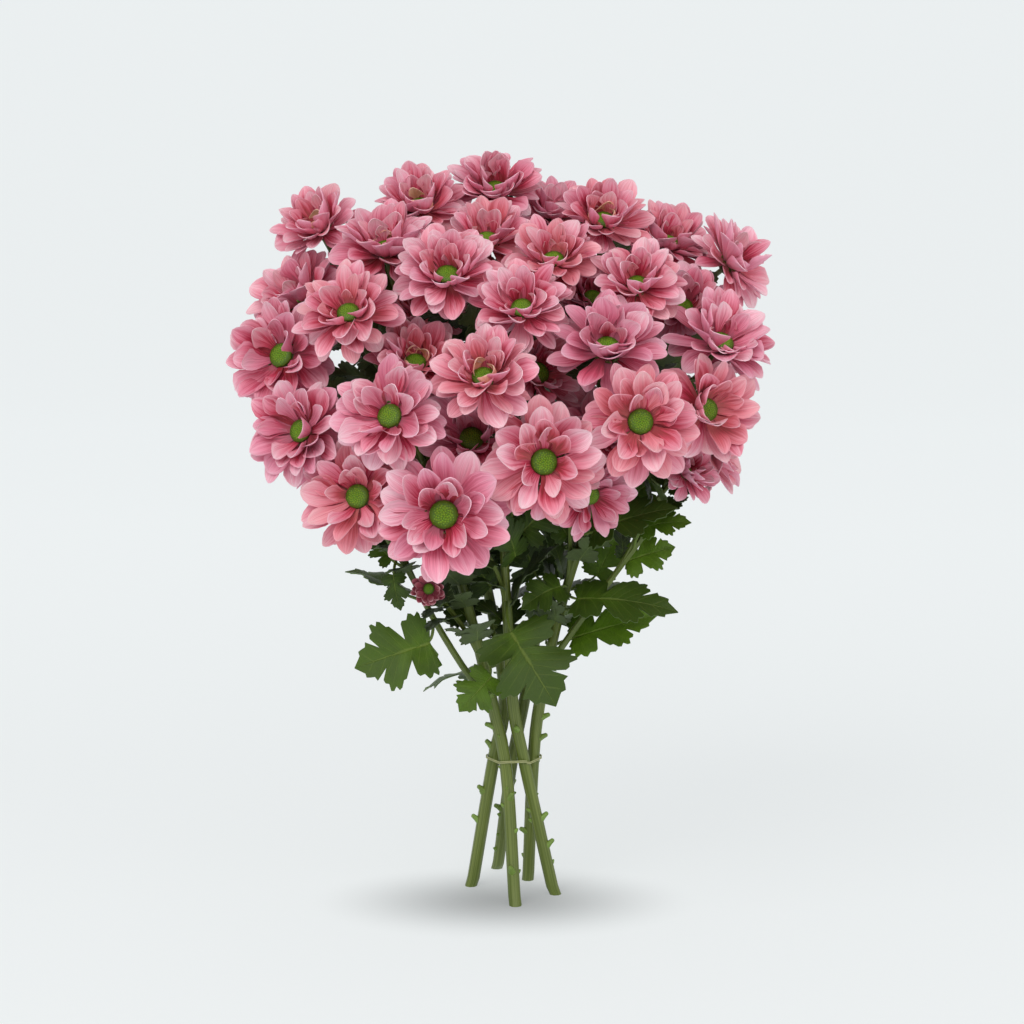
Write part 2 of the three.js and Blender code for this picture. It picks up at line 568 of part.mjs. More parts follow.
// The twine: one closed loop round the five stems where they cross
function tieSolid() {
  const { turns, sides, radius } = TWINE;
  const stems = Object.keys(STEMS).map((name) => atHeight(name, TIE_HEIGHT).point);
  const vertices = [];
  for (let i = 0; i < turns; i += 1) {
    const angle = (i / turns) * 2 * Math.PI;
    const out = new THREE.Vector3(Math.cos(angle), Math.sin(angle), 0);
    const outermost = stems.reduce((best, p) => (p.dot(out) > best.dot(out) ? p : best));
    const centre = outermost.clone().setZ(TIE_HEIGHT)
      .addScaledVector(out, STEM_RADIUS.foot + TWINE.gap + radius);
    for (let k = 0; k < sides; k += 1) {
      const round = (k / sides) * 2 * Math.PI;
      vertices.push(centre.clone().addScaledVector(out, Math.cos(round) * radius)
        .setZ(TIE_HEIGHT + Math.sin(round) * radius));
    }
  }
  const triangles = [];
  for (let i = 0; i < turns; i += 1) {
    for (let k = 0; k < sides; k += 1) {
      const next = ((i + 1) % turns) * sides;
      const [p, q] = [i * sides + k, i * sides + ((k + 1) % sides)];
      const [r, s] = [next + k, next + ((k + 1) % sides)];
      triangles.push([p, r, s], [p, s, q]);
    }
  }
  return solidFrom(vertices, triangles);
}

const PETAL_PINK = new THREE.MeshStandardMaterial({ color: 0xdb7f98, roughness: 0.6, metalness: 0 });
const BUD_ROSE = new THREE.MeshStandardMaterial({ color: 0xa8405c, roughness: 0.6, metalness: 0 });
const STEM_GREEN = new THREE.MeshStandardMaterial({ color: 0x557a34, roughness: 0.6, metalness: 0 });
const TWINE_STRAW = new THREE.MeshStandardMaterial({ color: 0xb9c08a, roughness: 0.8, metalness: 0 });

const bunch = new THREE.Group();
function addPiece(name, solid, material) {
  const mesh = new THREE.Mesh(geometryFrom(solid), material);
  mesh.name = name;
  mesh.position.set(-MIDDLE.x, -MIDDLE.y, 0);
  bunch.add(mesh);
}
Object.keys(STEMS).forEach((name) => addPiece(`stem_${name}`, spraySolid(name), STEM_GREEN));
// The front flowers are laid first, so that they open the widest
[...FLOWERS].sort((one, other) => one.at.y - other.at.y).forEach((flower, i) => addPiece(
  flower.name, bloomSolid(flower, i + 1), flower.name === 'bud' ? BUD_ROSE : PETAL_PINK));
addPiece('tie', tieSolid(), TWINE_STRAW);

export default bunch;
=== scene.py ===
import itertools
import json
import math

import bpy
import numpy as np
from bpy.props import FloatProperty, FloatVectorProperty, IntProperty, PointerProperty
from mathutils import Matrix, Vector
from mathutils.bvhtree import BVHTree

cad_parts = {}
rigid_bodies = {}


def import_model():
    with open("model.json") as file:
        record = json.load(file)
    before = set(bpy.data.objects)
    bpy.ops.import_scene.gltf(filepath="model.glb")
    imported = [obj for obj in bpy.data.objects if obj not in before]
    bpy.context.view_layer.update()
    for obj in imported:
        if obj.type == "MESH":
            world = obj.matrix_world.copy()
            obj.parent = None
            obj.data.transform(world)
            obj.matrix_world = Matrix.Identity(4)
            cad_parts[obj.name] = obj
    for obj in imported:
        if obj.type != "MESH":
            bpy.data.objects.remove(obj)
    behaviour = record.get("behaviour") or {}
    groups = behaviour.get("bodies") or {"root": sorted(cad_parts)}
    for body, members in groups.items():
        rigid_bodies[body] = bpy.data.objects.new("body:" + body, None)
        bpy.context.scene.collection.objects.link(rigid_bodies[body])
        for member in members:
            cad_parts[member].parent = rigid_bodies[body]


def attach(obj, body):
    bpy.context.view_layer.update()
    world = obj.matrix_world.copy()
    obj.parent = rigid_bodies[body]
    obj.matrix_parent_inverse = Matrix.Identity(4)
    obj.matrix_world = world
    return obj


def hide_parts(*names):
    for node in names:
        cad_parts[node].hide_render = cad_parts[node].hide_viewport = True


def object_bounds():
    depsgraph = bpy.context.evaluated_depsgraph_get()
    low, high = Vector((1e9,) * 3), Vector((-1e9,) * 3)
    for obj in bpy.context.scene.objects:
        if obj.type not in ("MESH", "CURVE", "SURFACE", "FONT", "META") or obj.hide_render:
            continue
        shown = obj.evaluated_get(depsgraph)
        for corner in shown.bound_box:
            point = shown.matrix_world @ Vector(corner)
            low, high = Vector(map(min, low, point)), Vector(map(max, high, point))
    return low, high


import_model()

bl_info = {
    "name": "Spray chrysanthemum bunch",
    "version": (1, 0, 0),
    "blender": (4, 5, 0),
    "location": "View3D > Sidebar > Bunch",
    "description": "Dresses a tied bunch of pink spray chrysanthemums round its packed frame",
    "category": "Add Mesh",
}

CAD_BOX = [list(corner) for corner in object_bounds()]
MM = 0.001
# The box that petals and small leaves are kept in, in millimetres
LOWEST, HIGHEST = np.array(CAD_BOX) / MM
# Plan centre of the bunch, in the millimetres of the tables below
MIDDLE = np.array([-5.9, -2.3, 0.0])
# Where the twine goes round the stems
TIE_HEIGHT = 90

# Main stems and side shoots: points from the cut end or the fork upwards
STEMS = {
    "a": [(-27, 5, 0), (-12, 3, 90), (-5, 5, 125), (-16, 16, 200), (-38, 25, 290), (-46, 22, 350)],
    "b": [(-10, 44, 0), (1, 11, 90), (8, 11, 125), (22, 18, 200), (44, 26, 290), (48, 24, 350)],
    "c": [(2, -37, 0), (-4.6, -10, 90), (-12, -9, 125), (-30, -16, 200), (-54, -24, 280), (-72, -26, 330)],
    "d": [(11, 18, 0), (14.5, 4, 90), (18, -1, 125), (34, -8, 200), (60, -20, 285), (72, -22, 340)],
    "e": [(28, -13, 0), (8, -8, 90), (1, -10, 125), (-3, -19, 190), (-6, -32, 270), (-4, -32, 340)],
}
SHOOTS = {
    "c2": ("c", [(-12, -9, 126), (-31, -14, 153), (-52, -22, 190), (-65, -30, 218), (-84, -38, 250)]),
    "d2": ("d", [(22, -4, 150), (44, -16, 185), (64, -26, 215), (88, -36, 250)]),
}
# Flowers in the order of their names, then the bud: centre, turn from the front, lift above level,
# width, stem, height where the stalk leaves it
FLOWERS = [
    (-11, 29, 466, 0, 50, 60, "a", 340),
    (-60, 9, 455, -5, 50, 60, "a", 330),
    (28, 59, 449, 20, 60, 58, "b", 340),
    (59, -6, 446, 5, 48, 60, "b", 345),
    (-126, 14, 441, -30, 50, 57, "a", 300),
    (103, 26, 431, 25, 52, 58, "b", 320),
    (142, 1, 419, 60, 35, 60, "d", 310),
    (-16, -17, 434, 0, 55, 58, "a", 335),
    (-80, -33, 428, -8, 52, 64, "a", 315),
    (-104, 44, 408, -50, 60, 56, "a", 290),
    (26, -49, 422, -5, 50, 58, "b", 325),
    (78, -61, 407, 0, 45, 58, "d", 335),
    (52, -14, 396, 10, 40, 56, "d", 325),
    (-40, -69, 413, 0, 45, 64, "e", 335),
    (6, -93, 394, -8, 40, 58, "e", 325),
    (109, -24, 391, 10, 40, 60, "d", 320),
    (-138, -5, 396, -45, 45, 62, "c", 315),
    (-101, -75, 390, -10, 42, 62, "c", 325),
    (-56, -10, 388, -20, 40, 56, "e", 320),
    (58, -97, 370, 5, 42, 68, "d", 290),
    (130, -67, 371, 25, 45, 68, "d", 285),
    (16, -59, 352, 35, 28, 62, "e", 300),
    (-17, -123, 354, 0, 42, 62, "e", 285),
    (-60, -71, 359, 5, 45, 58, "c", 290),
    (-145, -46, 362, -25, 22, 70, "c", 275),
    (77, -123, 328, 5, 12, 68, "d", 250),
    (119, -90, 332, 25, 12, 64, "d2", 240),
    (53, -51, 313, 5, 10, 56, "d", 235),
    (-25, -83, 313, 0, 30, 66, "e", 250),
    (-73, -122, 331, -18, 22, 66, "c", 240),
    (-130, -83, 318, -30, 15, 64, "c2", 240),
    (19, -126, 304, 8, 10, 70, "e", 215),
    (-41, -132, 273, 0, 8, 76, "e", 185),
    (-94, -103, 280, -18, 14, 66, "c2", 205),
    (48, -88, 279, 25, -8, 52, "d", 200),
    (109, -58, 290, 45, 35, 42, "d2", 215),
    (-80, -43, 290, -30, 5, 54, "c", 225),
    (20, 96, 424, 175, 50, 60, "b", 300),
    (-45, 78, 435, 205, 55, 62, "a", 320),
    (80, 68, 415, 140, 50, 62, "b", 310),
    (-100, 81, 383, 215, 35, 64, "a", 280),
    (-40, 112, 385, 190, 35, 62, "a", 270),
    (25, 124, 365, 178, 30, 64, "b", 260),
    (88, 106, 365, 150, 30, 64, "b", 270),
    (138, 48, 370, 110, 30, 62, "b", 285),
    (-143, 22, 350, 255, 25, 62, "a", 255),
    (-112, 78, 316, 228, 15, 62, "a", 225),
    (-52, 118, 316, 198, 12, 64, "a", 210),
    (12, 130, 298, 180, 10, 64, "b", 200),
    (74, 110, 298, 152, 12, 62, "b", 215),
    (124, 52, 312, 112, 12, 62, "b", 240),
    (-124, 8, 292, 268, 5, 60, "c2", 222),
    (128, -18, 300, 84, 8, 60, "d", 232),
]
BUD = (-53, -54, 214, -5, 15, 26, "c", 146)
# Leaves in front: stem, root height, ends of the blade, width, turn and lift of the upper face
LEAVES_SEEN = [
    ("c2", 190, (-53, -30, 174), (-102, -34, 157), 48, -10, 20),
    ("e", 200, (-1, -43, 184), (26, -62, 138), 58, 5, 25),
    ("c", 166, (-13, -26, 151), (-33, -34, 128), 32, -10, 30),
    ("d", 202, (42, -30, 203), (107, -44, 197), 38, 5, 50),
    ("d", 166, (40, -4, 172), (97, -8, 183), 36, 10, 42),
    ("d", 240, (52, -48, 250), (104, -66, 264), 36, 0, 50),
    ("d2", 236, (84, -46, 252), (114, -56, 258), 22, 10, 45),
    ("d2", 214, (74, -20, 226), (107, -18, 234), 28, 10, 35),
    ("b", 196, (56, 6, 212), (70, 10, 238), 26, 10, 30),
    ("d", 250, (72, -14, 262), (96, -22, 284), 30, 15, 35),
    ("c2", 222, (-78, -26, 228), (-93, -18, 240), 18, -20, 40),
    ("c2", 232, (-76, -46, 222), (-72, -50, 199), 18, -20, 20),
    ("c", 244, (-32, -10, 228), (-44, -8, 194), 34, -10, 20),
    ("e", 226, (2, -36, 232), (-9, -54, 260), 28, 0, 40),
    ("d", 206, (32, -22, 210), (4, -34, 200), 28, 0, 40),
    ("c", 262, (-36, -24, 248), (-14, -18, 218), 36, 0, 20),
    ("a", 196, (-14, 12, 204), (-34, 8, 232), 40, -10, 15),
    ("a", 258, (-22, 20, 246), (-6, 16, 216), 36, 10, 15),
    ("b", 204, (16, 6, 212), (4, 0, 244), 38, 0, 15),
    ("b", 226, (38, 14, 232), (58, 8, 256), 38, 10, 15),
    ("e", 238, (6, -28, 246), (28, -24, 268), 34, 5, 25),
]
# Leaves round the rest: stem, root height, turn, lift, length, width
LEAVES_AROUND = [
    ("a", 184, 214, 2, 68, 42),
    ("a", 232, 258, 10, 66, 42),
    ("a", 262, 186, 4, 64, 42),
    ("b", 176, 142, 0, 70, 44),
    ("b", 226, 104, 10, 64, 42),
    ("b", 256, 176, 4, 62, 42),
    ("a", 152, 254, -22, 60, 40),
    ("b", 150, 186, -24, 62, 42),
    ("c2", 200, 262, 20, 56, 38),
    ("d", 190, 92, 16, 60, 40),
]
# Their stalk's share of the length, and how far their upper face looks up
AROUND_STALK = 0.24
AROUND_FACE = 52
# Small leaves on the flowers' stalks: share of the stalk where they grow, and length
LEAFLETS = [(0.2, 44), (0.38, 40), (0.54, 36), (0.68, 33), (0.8, 30), (0.91, 25)]
# The same on the main stems: heights, and length
UPPER_HEIGHTS = range(168, 340, 13)
UPPER_LENGTH = 44
# Width as a share of the length, and the sizes and ways round its stem that a small leaf tries
LEAFLET_WIDTH = 0.66
LEAFLET_SIZES = (1, 0.75, 0.55)
LEAFLET_TURNS = 5
# How far from the middle of a main stem or a stalk they start
STEM_GAP, STALK_GAP = 4.5, 2.2
# How light each leaf in front is painted, from dark and grey in shade to backlit yellow green
LEAF_LIGHT = [0.5, 0.3, 0.8, 0.3, 0.9, 0.25, 0.6, 0.85, 0.8, 0.4, 0.5, 0.25, 0.15, 0.2, 0.3, 0.12, 0.15, 0.1,
              0.1, 0.25, 0.2]
# Stubs of stripped leaves: stem, height, turn
STUBS = [
    ("a", 45, -90), ("a", 66, -70), ("a", 96, -95),
    ("b", 48, -80), ("b", 64, 150),
    ("c", 20, -10), ("c", 66, 20), ("c", 114, -85),
    ("d", 36, -60), ("d", 103, 85), ("d", 118, 80),
    ("e", 32, 80), ("e", 50, 85), ("e", 112, 0),
]
# How far stubs and leaf scars lean upwards, and how far from the stem's middle they start
STUB_LEAN = 0.6
STUB_SUNK, KNOB_SUNK = 2.2, 3.2
# Heights between which the bare stems have small leaf scars
KNOBS_FROM, KNOBS_SPAN = 14, 128
# A main stem's radius at even steps from its foot up, as shares of the foot's
STEM_TAPER = [1, 1, 1, 1, 0.88, 0.76, 0.66, 0.6, 0.58]
# The same for side shoots, flowers' stalks as shares, and leaves' stalks
SHOOT_RADII = [2.4, 2.2, 2.0, 1.8]
STALK_TAPER = [1.15, 1, 1, 1.05]
LEAF_STALK_RADII = [1.3, 1.1, 1.0, 0.5]
# Green bracts round a cup, in two rows: count, rise, length, and radius and height where they start
BRACTS = [(8, 46, 8.2, 4.6, -7.4), (9, 62, 6.6, 6.6, -4.9)]

# Layers of petals of a flower 66 mm wide, from the outside in: count, reach, half width, rise, the
# play of the rise, cup, curl up along the petal, and the radius and height where it starts
FLOWER_WIDTH = 66
LAYERS = [
    (9, 1.04, 6.4, -16, 24, 0.34, -8, 7.4, -1.6),
    (10, 1.14, 7.2, 5, 26, 0.38, 10, 7.4, -0.8),
    (9, 1.12, 7.3, 25, 26, 0.50, 18, 7.5, 0.0),
    (8, 1.06, 7.1, 45, 24, 0.64, 28, 7.7, 0.9),
    (6, 0.84, 6.2, 62, 22, 0.78, 42, 7.8, 1.6),
    (3, 0.48, 5.0, 74, 14, 0.90, 70, 7.9, 2.1),
]
# Curled peach petals over the button, and the flowers that have them
HEART = (3, 0.46, 6.4, 98, 14, 0.9, 112, 7.2, 2.2)
HEARTS = {f"bloom_{i:02d}" for i in (2, 4, 5, 9, 10, 23, 24, 39, 44)}
BUD_LAYERS = [
    (14, 0.95, 6.6, 36, 12, 0.5, 50, 8.8, -0.4),
    (12, 0.8, 5.8, 54, 10, 0.55, 60, 8.8, 1.0),
]
# How much larger the button is in the bud, for the bud's size
BUD_BUTTON = 1.22
# Degrees by which all petals of a flower stand higher, or lower, than their layers say
HALF_OPEN = {"bloom_36": 14, "bloom_33": -4, "bloom_32": -4}
# Flowers that look to the front with less lift than this show their button free of the innermost petals
OPEN_LIFT = 26
# Degrees by which the upper petals stand higher, and by which flowers differ in how far they open
HANG = 9
OPENNESS = 12
# Least degrees between a petal and those under it, and the steepest rise
LAYER_STEP = 6
STEEPEST = 84
# Shifts of the rise, and shares of the length, that a petal tries until it is clear of its neighbours
SHIFTS = [0, 5, -5, 10, -10, 15, 21, -16, 28, 36, 45]
SHORTER = [1, 0.92, 0.84, 0.75, 0.66, 0.56, 0.45]
# A petal's outline: shares of the length, and of the half width there
PETAL_ROWS = [0, 0.13, 0.28, 0.45, 0.62, 0.78, 0.9, 0.97, 1]
PETAL_WIDTHS = [0.30, 0.38, 0.54, 0.77, 0.98, 0.95, 0.66, 0.33, 0.03]
PETAL_THICK = 0.45
# Where a petal's five colours lie along it, and how often streaks and veins change across it
PETAL_BANDS = (0.06, 0.24, 0.52, 0.84, 1.0)
PETAL_STREAKS, PETAL_VEINS = 9, 46
# Petal colours out of 255: root, deep, body, tip, edge, warm, back; root and deep hold the petals' own deep
# rose with painted crevice shade
HEART_COLOURS = [(206, 110, 100), (224, 150, 124), (238, 184, 154), (244, 204, 176), (250, 222, 200),
                 (240, 176, 140), (236, 180, 158)]
BUD_COLOURS = [(110, 24, 40), (146, 46, 66), (176, 78, 96), (214, 136, 148), (238, 196, 200),
               (184, 92, 98), (164, 72, 90)]

# Half of a lobed and toothed leaf: for each tooth its flank, tip and the valley after it, as share
# of the length and share of the width, and where its vein leaves the midrib
LEAF_TEETH = [
    ((-0.02, 0.09), (-0.05, 0.18), (-0.02, 0.23), 0.01),
    ((-0.04, 0.28), (-0.05, 0.34), (0.01, 0.36), 0.02),
    ((0.01, 0.42), (0.03, 0.46), (0.08, 0.41), 0.035),
    ((0.11, 0.46), (0.15, 0.48), (0.19, 0.4), 0.07),
    ((0.25, 0.41), (0.275, 0.37), (0.285, 0.15), 0.13),
    ((0.34, 0.25), (0.42, 0.38), (0.46, 0.385), 0.24),
    ((0.51, 0.47), (0.55, 0.49), (0.575, 0.43), 0.32),
    ((0.62, 0.48), (0.655, 0.47), (0.65, 0.37), 0.39),
    ((0.69, 0.35), (0.7, 0.3), (0.62, 0.145), 0.45),
    ((0.69, 0.21), (0.77, 0.285), (0.79, 0.22), 0.58),
    ((0.84, 0.21), (0.89, 0.19), (0.89, 0.13), 0.74),
]
# Thickness of a leaf, and its form as shares of its length and width
LEAF_THICK = 0.6
LEAF_FORM = {"arch": 0.07, "fold": 0.24, "wave": 0.05, "droop": 0.3}

# Florets of a button: count, the disc that they cover, its height and how far its rim falls
FLORETS = 96
DISC_RADIUS, DISC_HEIGHT, DISC_FALL = 7.1, 4.35, 1.9
GOLDEN_ANGLE = math.pi * (3 - math.sqrt(5))
# The twine's turns, its steps, its radius, and its clearance from the stems' middles
TWINE_TURNS, TWINE_STEPS, TWINE_RADIUS, TWINE_REACH = 2, 88, 0.37, 5.3

# The paper: how bright it glows, the glow near the front, and the share of its colour that takes light
PAPER_GLOW = 0.76
PAPER_NEAR = 0.91
PAPER_MATTE = 0.4
# The painted soft shadow under the foot: radius, how deep, how far ahead, and how much flatter than round
SHADE_RADIUS = 0.132
SHADE_DEPTH = 0.62
SHADE_AHEAD = 0.026
SHADE_FLAT = 2.5
# The sweep of paper: half width, half depth, radius and steps of its bend, height of the wall
FLOOR_SIZE = (6, 3)
BEND_RADIUS, BEND_STEPS, WALL = 1.4, 14, 4
AIR_LIGHT = 0.5
# Round lights in metres: place, the point that they face, width
LIGHTS = {
    "key": ((-1.4, -2.0, 2.3), (0, 0, 0.3), 2.4),
    "fill": ((1.7, -1.5, 1.4), (0, 0, 0.3), 2.0),
    "front": ((0.2, -2.2, 1.6), (0, -0.1, 0.1), 1.4),
}
LIGHT_COLOUR = (1.0, 0.985, 0.96)
# Camera place and target, in millimetres on the tables' axes
VIEW_FROM, VIEW_TO = (0, -1485, 465), (0, 0, 256)


def chance(i, j):
    """A repeatable number from 0 to 1 for a pair of counts."""
    s = math.sin(i * 127.1 + j * 311.7) * 43758.5453
    return s - math.floor(s)


def unit(vector):
    """The vector at length one."""
    return vector / np.linalg.norm(vector)


def heading(turn, lift):
    """The unit vector that a turn from the front and a lift above level point along."""
    t, l = math.radians(turn), math.radians(lift)
    return np.array([math.sin(t) * math.cos(l), -math.cos(t) * math.cos(l), math.sin(l)])


def square_to(axis):
    """Two unit vectors square to an axis and to each other."""
    side = unit(np.cross((0, 0, 1), axis))
    return side, np.cross(axis, side)


def smooth_path(points, steps=40):
    """A smooth curve through points, as the frame's stems follow."""
    p = np.array(points, float) - MIDDLE
    p = np.vstack([2 * p[0] - p[1], p, 2 * p[-1] - p[-2]])
    t = np.arange(steps)[:, None] / steps
    spans = []
    for a, b, c, d in zip(p, p[1:], p[2:], p[3:]):
        da, db, dc = (np.linalg.norm(v) ** 0.5 for v in (b - a, c - b, d - c))
        start = ((b - a) / da - (c - a) / (da + db) + (c - b) / db) * db
        end = ((c - b) / db - (d - b) / (db + dc) + (d - c) / dc) * db
        spans.append(b + start * t + (3 * (c - b) - 2 * start - end) * t ** 2
                     + (2 * (b - c) + start + end) * t ** 3)
    return np.vstack([*spans, p[-2:-1]])


PATHS = {name: smooth_path(points) for name, points in STEMS.items()}
PATHS.update({name: smooth_path(points) for name, (_, points) in SHOOTS.items()})


def at_height(name, height):
    """Where a stem or shoot passes a height, and the way it runs there."""
    path = PATHS[name]
    spots = [np.array([np.interp(z, path[:, 2], path[:, 0]), np.interp(z, path[:, 2], path[:, 1]), z])
             for z in (height, height + 1)]
    return spots[0], unit(spots[1] - spots[0])


def curve(start, after, before, end, steps):
    """Points of a curve from start to end that two more points pull."""
    t = np.linspace(0, 1, steps)[:, None]
    return (start * (1 - t) ** 3 + 3 * after * t * (1 - t) ** 2
            + 3 * before * t ** 2 * (1 - t) + end * t ** 3)


class Flower:
    """A flower's place, the way it looks and the stem that it grows from."""

    def __init__(self, name, x, y, z, turn, lift, width, parent, height):
        self.name, self.lift, self.width, self.parent, self.height = name, lift, width, parent, height
        self.at = np.array([x, y, z], float) - MIDDLE
        self.axis = heading(turn, lift)
        self.sides = square_to(self.axis)
        self.scale = width / FLOWER_WIDTH

    def on_axis(self, height):
        return self.at + self.axis * height * self.scale

    def stalk(self):
        """The curve of the stalk from its stem to the foot of the cup."""
        root, along = at_height(self.parent, self.height)
        end = self.on_axis(-9)
        reach = np.linalg.norm(end - root)
        return curve(root, root + along * reach * 0.4, end - self.axis * reach * 0.38, end, 24)


def members(name):
    """A main stem and its side shoots."""
    return [name] + [shoot for shoot, (parent, _) in SHOOTS.items() if parent == name]


BLOOMS = [Flower(f"bloom_{i:02d}", *row) for i, row in enumerate(FLOWERS, 1)] + [Flower("bud", *BUD)]


class Template:
    """A shape modelled once: its points, faces and map, ready to be bent and copied."""

    def __init__(self, piece):
        mesh = piece.data
        self.points = np.array([v.co for v in mesh.vertices])
        self.faces = [tuple(face.vertices) for face in mesh.polygons]
        layer = mesh.uv_layers.active
        self.uv = np.array([spot.uv for spot in layer.data]) if layer else np.zeros((len(mesh.loops), 2))
        bpy.data.objects.remove(piece)
        bpy.data.meshes.remove(mesh)


def begin(operator, **settings):
    """Adds a primitive with nothing else selected."""
    bpy.ops.object.select_all(action="DESELECT")
    operator(location=(0, 0, 0), **settings)
    return bpy.context.object


def apply(piece, kind, **settings):
    """Adds a modifier and applies it."""
    modifier = piece.modifiers.new(kind.title(), kind)
    for name, value in settings.items():
        setattr(modifier, name, value)
    bpy.ops.object.modifier_apply(modifier=modifier.name)


def begin_grid(columns, rows):
    """Adds a flat grid, and lists its points with the row that each lies in."""
    piece = begin(bpy.ops.mesh.primitive_grid_add, x_subdivisions=columns, y_subdivisions=rows, size=2)
    return piece, [(vertex, round((vertex.co.y + 1) / 2 * rows)) for vertex in piece.data.vertices]


def petal_template(rows, widths, columns):
    """A spoon of a petal lying flat: x across, y from the root to the tip, one unit thick."""
    piece, spots = begin_grid(columns, len(rows) - 1)
    for vertex, row in spots:
        vertex.co.x *= widths[row]
        vertex.co.y = rows[row]
    apply(piece, "SOLIDIFY", thickness=1, offset=0)
    return Template(piece)


def leaf_template(columns=6):
    """A lobed leaf lying flat: y from the stalk to the tip, x across, one unit thick."""
    edge = [(0.0, 0.03, 0.0)]
    rib = 0.0
    for flank, tip, valley, vein in LEAF_TEETH:
        edge += [(*flank, (rib + 2 * vein) / 3), (*tip, vein), (*valley, vein)]
        rib = vein
    edge.append((1.0, 0.004, 1.0))
    ribs = [r for _, _, r in edge]
    for i in range(3, len(edge) - 1, 3):
        ribs[i] = ribs[i] + (ribs[min(i + 2, len(edge) - 1)] - ribs[i]) * 0.4
    for i in range(4, len(edge) - 1, 3):
        ribs[i] = (ribs[i - 1] + ribs[i + 1]) / 2
    piece, spots = begin_grid(columns, len(edge) - 1)
    for vertex, row in spots:
        share, half, _ = edge[row]
        out = abs(vertex.co.x)
        vertex.co.y = ribs[row] + (share - ribs[row]) * out
        vertex.co.x = half * vertex.co.x
    bpy.ops.object.mode_set(mode="EDIT")
    bpy.ops.mesh.select_all(action="SELECT")
    bpy.ops.mesh.remove_doubles(threshold=0.0005)
    bpy.ops.object.mode_set(mode="OBJECT")
    apply(piece, "SOLIDIFY", thickness=1, offset=0)
    return Template(piece)


def tube_template(sides, rings, ridge=0.0):
    """A straight tube of radius one from z 0 to 1, with every other side drawn in as a groove."""
    piece = begin(bpy.ops.mesh.primitive_cylinder_add, vertices=sides, radius=1, depth=1,
                  end_fill_type="TRIFAN")
    bpy.ops.object.mode_set(mode="EDIT")
    for i in range(1, rings):
        bpy.ops.mesh.select_all(action="SELECT")
        bpy.ops.mesh.bisect(plane_co=(0, 0, i / rings - 0.5), plane_no=(0, 0, 1))
    bpy.ops.object.mode_set(mode="OBJECT")
    for vertex in piece.data.vertices:
        vertex.co.z += 0.5
        side = round(math.atan2(vertex.co.y, vertex.co.x) / (2 * math.pi) * sides)
        if side % 2:
            vertex.co.x *= 1 - ridge
            vertex.co.y *= 1 - ridge
    tube = Template(piece)
    tube.rings = rings
    return tube


def turned_template(profile, sides):
    """A closed shape turned about z from its radii and heights."""
    (radius, height), *rest = profile
    piece = begin(bpy.ops.mesh.primitive_circle_add, vertices=sides, radius=radius, fill_type="NGON")
    piece.data.transform(Matrix.Translation((0, 0, height)))
    bpy.ops.object.mode_set(mode="EDIT")
    bpy.ops.mesh.select_all(action="SELECT")
    for next_radius, next_height in rest:
        bpy.ops.mesh.extrude_region_move(TRANSFORM_OT_translate={"value": (0, 0, next_height - height)})
        grow = next_radius / radius
        bpy.ops.transform.resize(value=(grow, grow, 1), center_override=(0, 0, next_height))
        radius, height = next_radius, next_height
    bpy.ops.mesh.select_all(action="SELECT")
    bpy.ops.mesh.normals_make_consistent(inside=False)
    bpy.ops.object.mode_set(mode="OBJECT")
    return Template(piece)


class Gather:
    """Collects bent copies of the templates, in millimetres, into the mesh of one piece."""

    def __init__(self):
        self.points, self.faces, self.uv, self.tint, self.finish = [], [], [], [], []
        self.count = 0

    def add(self, template, points, tint, finish=0):
        self.points.append(points)
        self.faces += [tuple(v + self.count for v in face) for face in template.faces]
        self.uv.append(template.uv)
        tint = np.broadcast_to(np.asarray(tint, float), (len(points), 3))
        self.tint.append(tint)
        self.finish += [finish] * len(template.faces)
        self.count += len(points)

    def join(self, other):
        """Takes in what another has gathered."""
        self.points += other.points
        self.faces += [tuple(v + self.count for v in face) for face in other.faces]
        self.uv += other.uv
        self.tint += other.tint
        self.finish += other.finish
        self.count += other.count

    def tree(self):
        return BVHTree.FromPolygons(np.vstack(self.points).tolist(), self.faces)

    def piece(self, name, finishes, slot, node, smooth=50):
        """Makes the piece, in metres, riding on the body and standing for its node."""
        mesh = bpy.data.meshes.new(name)
        mesh.from_pydata((np.vstack(self.points) * MM).tolist(), [], self.faces)
        layer = mesh.uv_layers.new(name="UVMap")
        layer.data.foreach_set("uv", np.vstack(self.uv).astype(np.float32).ravel())
        tint = mesh.attributes.new("tint", "FLOAT_VECTOR", "POINT")
        tint.data.foreach_set("vector", np.vstack(self.tint).astype(np.float32).ravel())
        for finish in finishes:
            mesh.materials.append(finish)
        mesh.polygons.foreach_set("material_index", self.finish)
        piece = bpy.data.objects.new(name, mesh)
        bpy.context.scene.collection.objects.link(piece)
        bpy.ops.object.select_all(action="DESELECT")
        piece.select_set(True)
        bpy.context.view_layer.objects.active = piece
        bpy.ops.object.shade_smooth_by_angle(angle=math.radians(smooth))
        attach(piece, "root")
        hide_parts(node)
        return piece


# What petals and small leaves are kept clear of: owner, lowest corner, highest corner, tree
OBSTACLES = []


def set_down(owner, gather):
    """Notes what is gathered, for later petals and small leaves to be kept clear of."""
    points = np.vstack(gather.points)
    OBSTACLES.append((owner, points.min(0), points.max(0), gather.tree()))


def is_clear(owner, template, points):
    """Whether points lie in the box and cut into nothing set down but their owner's own."""
    low, high = points.min(0), points.max(0)
    if (low < LOWEST).any() or (high > HIGHEST).any():
        return False
    tree = None
    for other, other_low, other_high, other_tree in OBSTACLES:
        if (owner and other == owner) or (low > other_high).any() or (high < other_low).any():
            continue
        tree = tree or BVHTree.FromPolygons(points.tolist(), template.faces)
        if tree.overlap(other_tree):
            return False
    return True


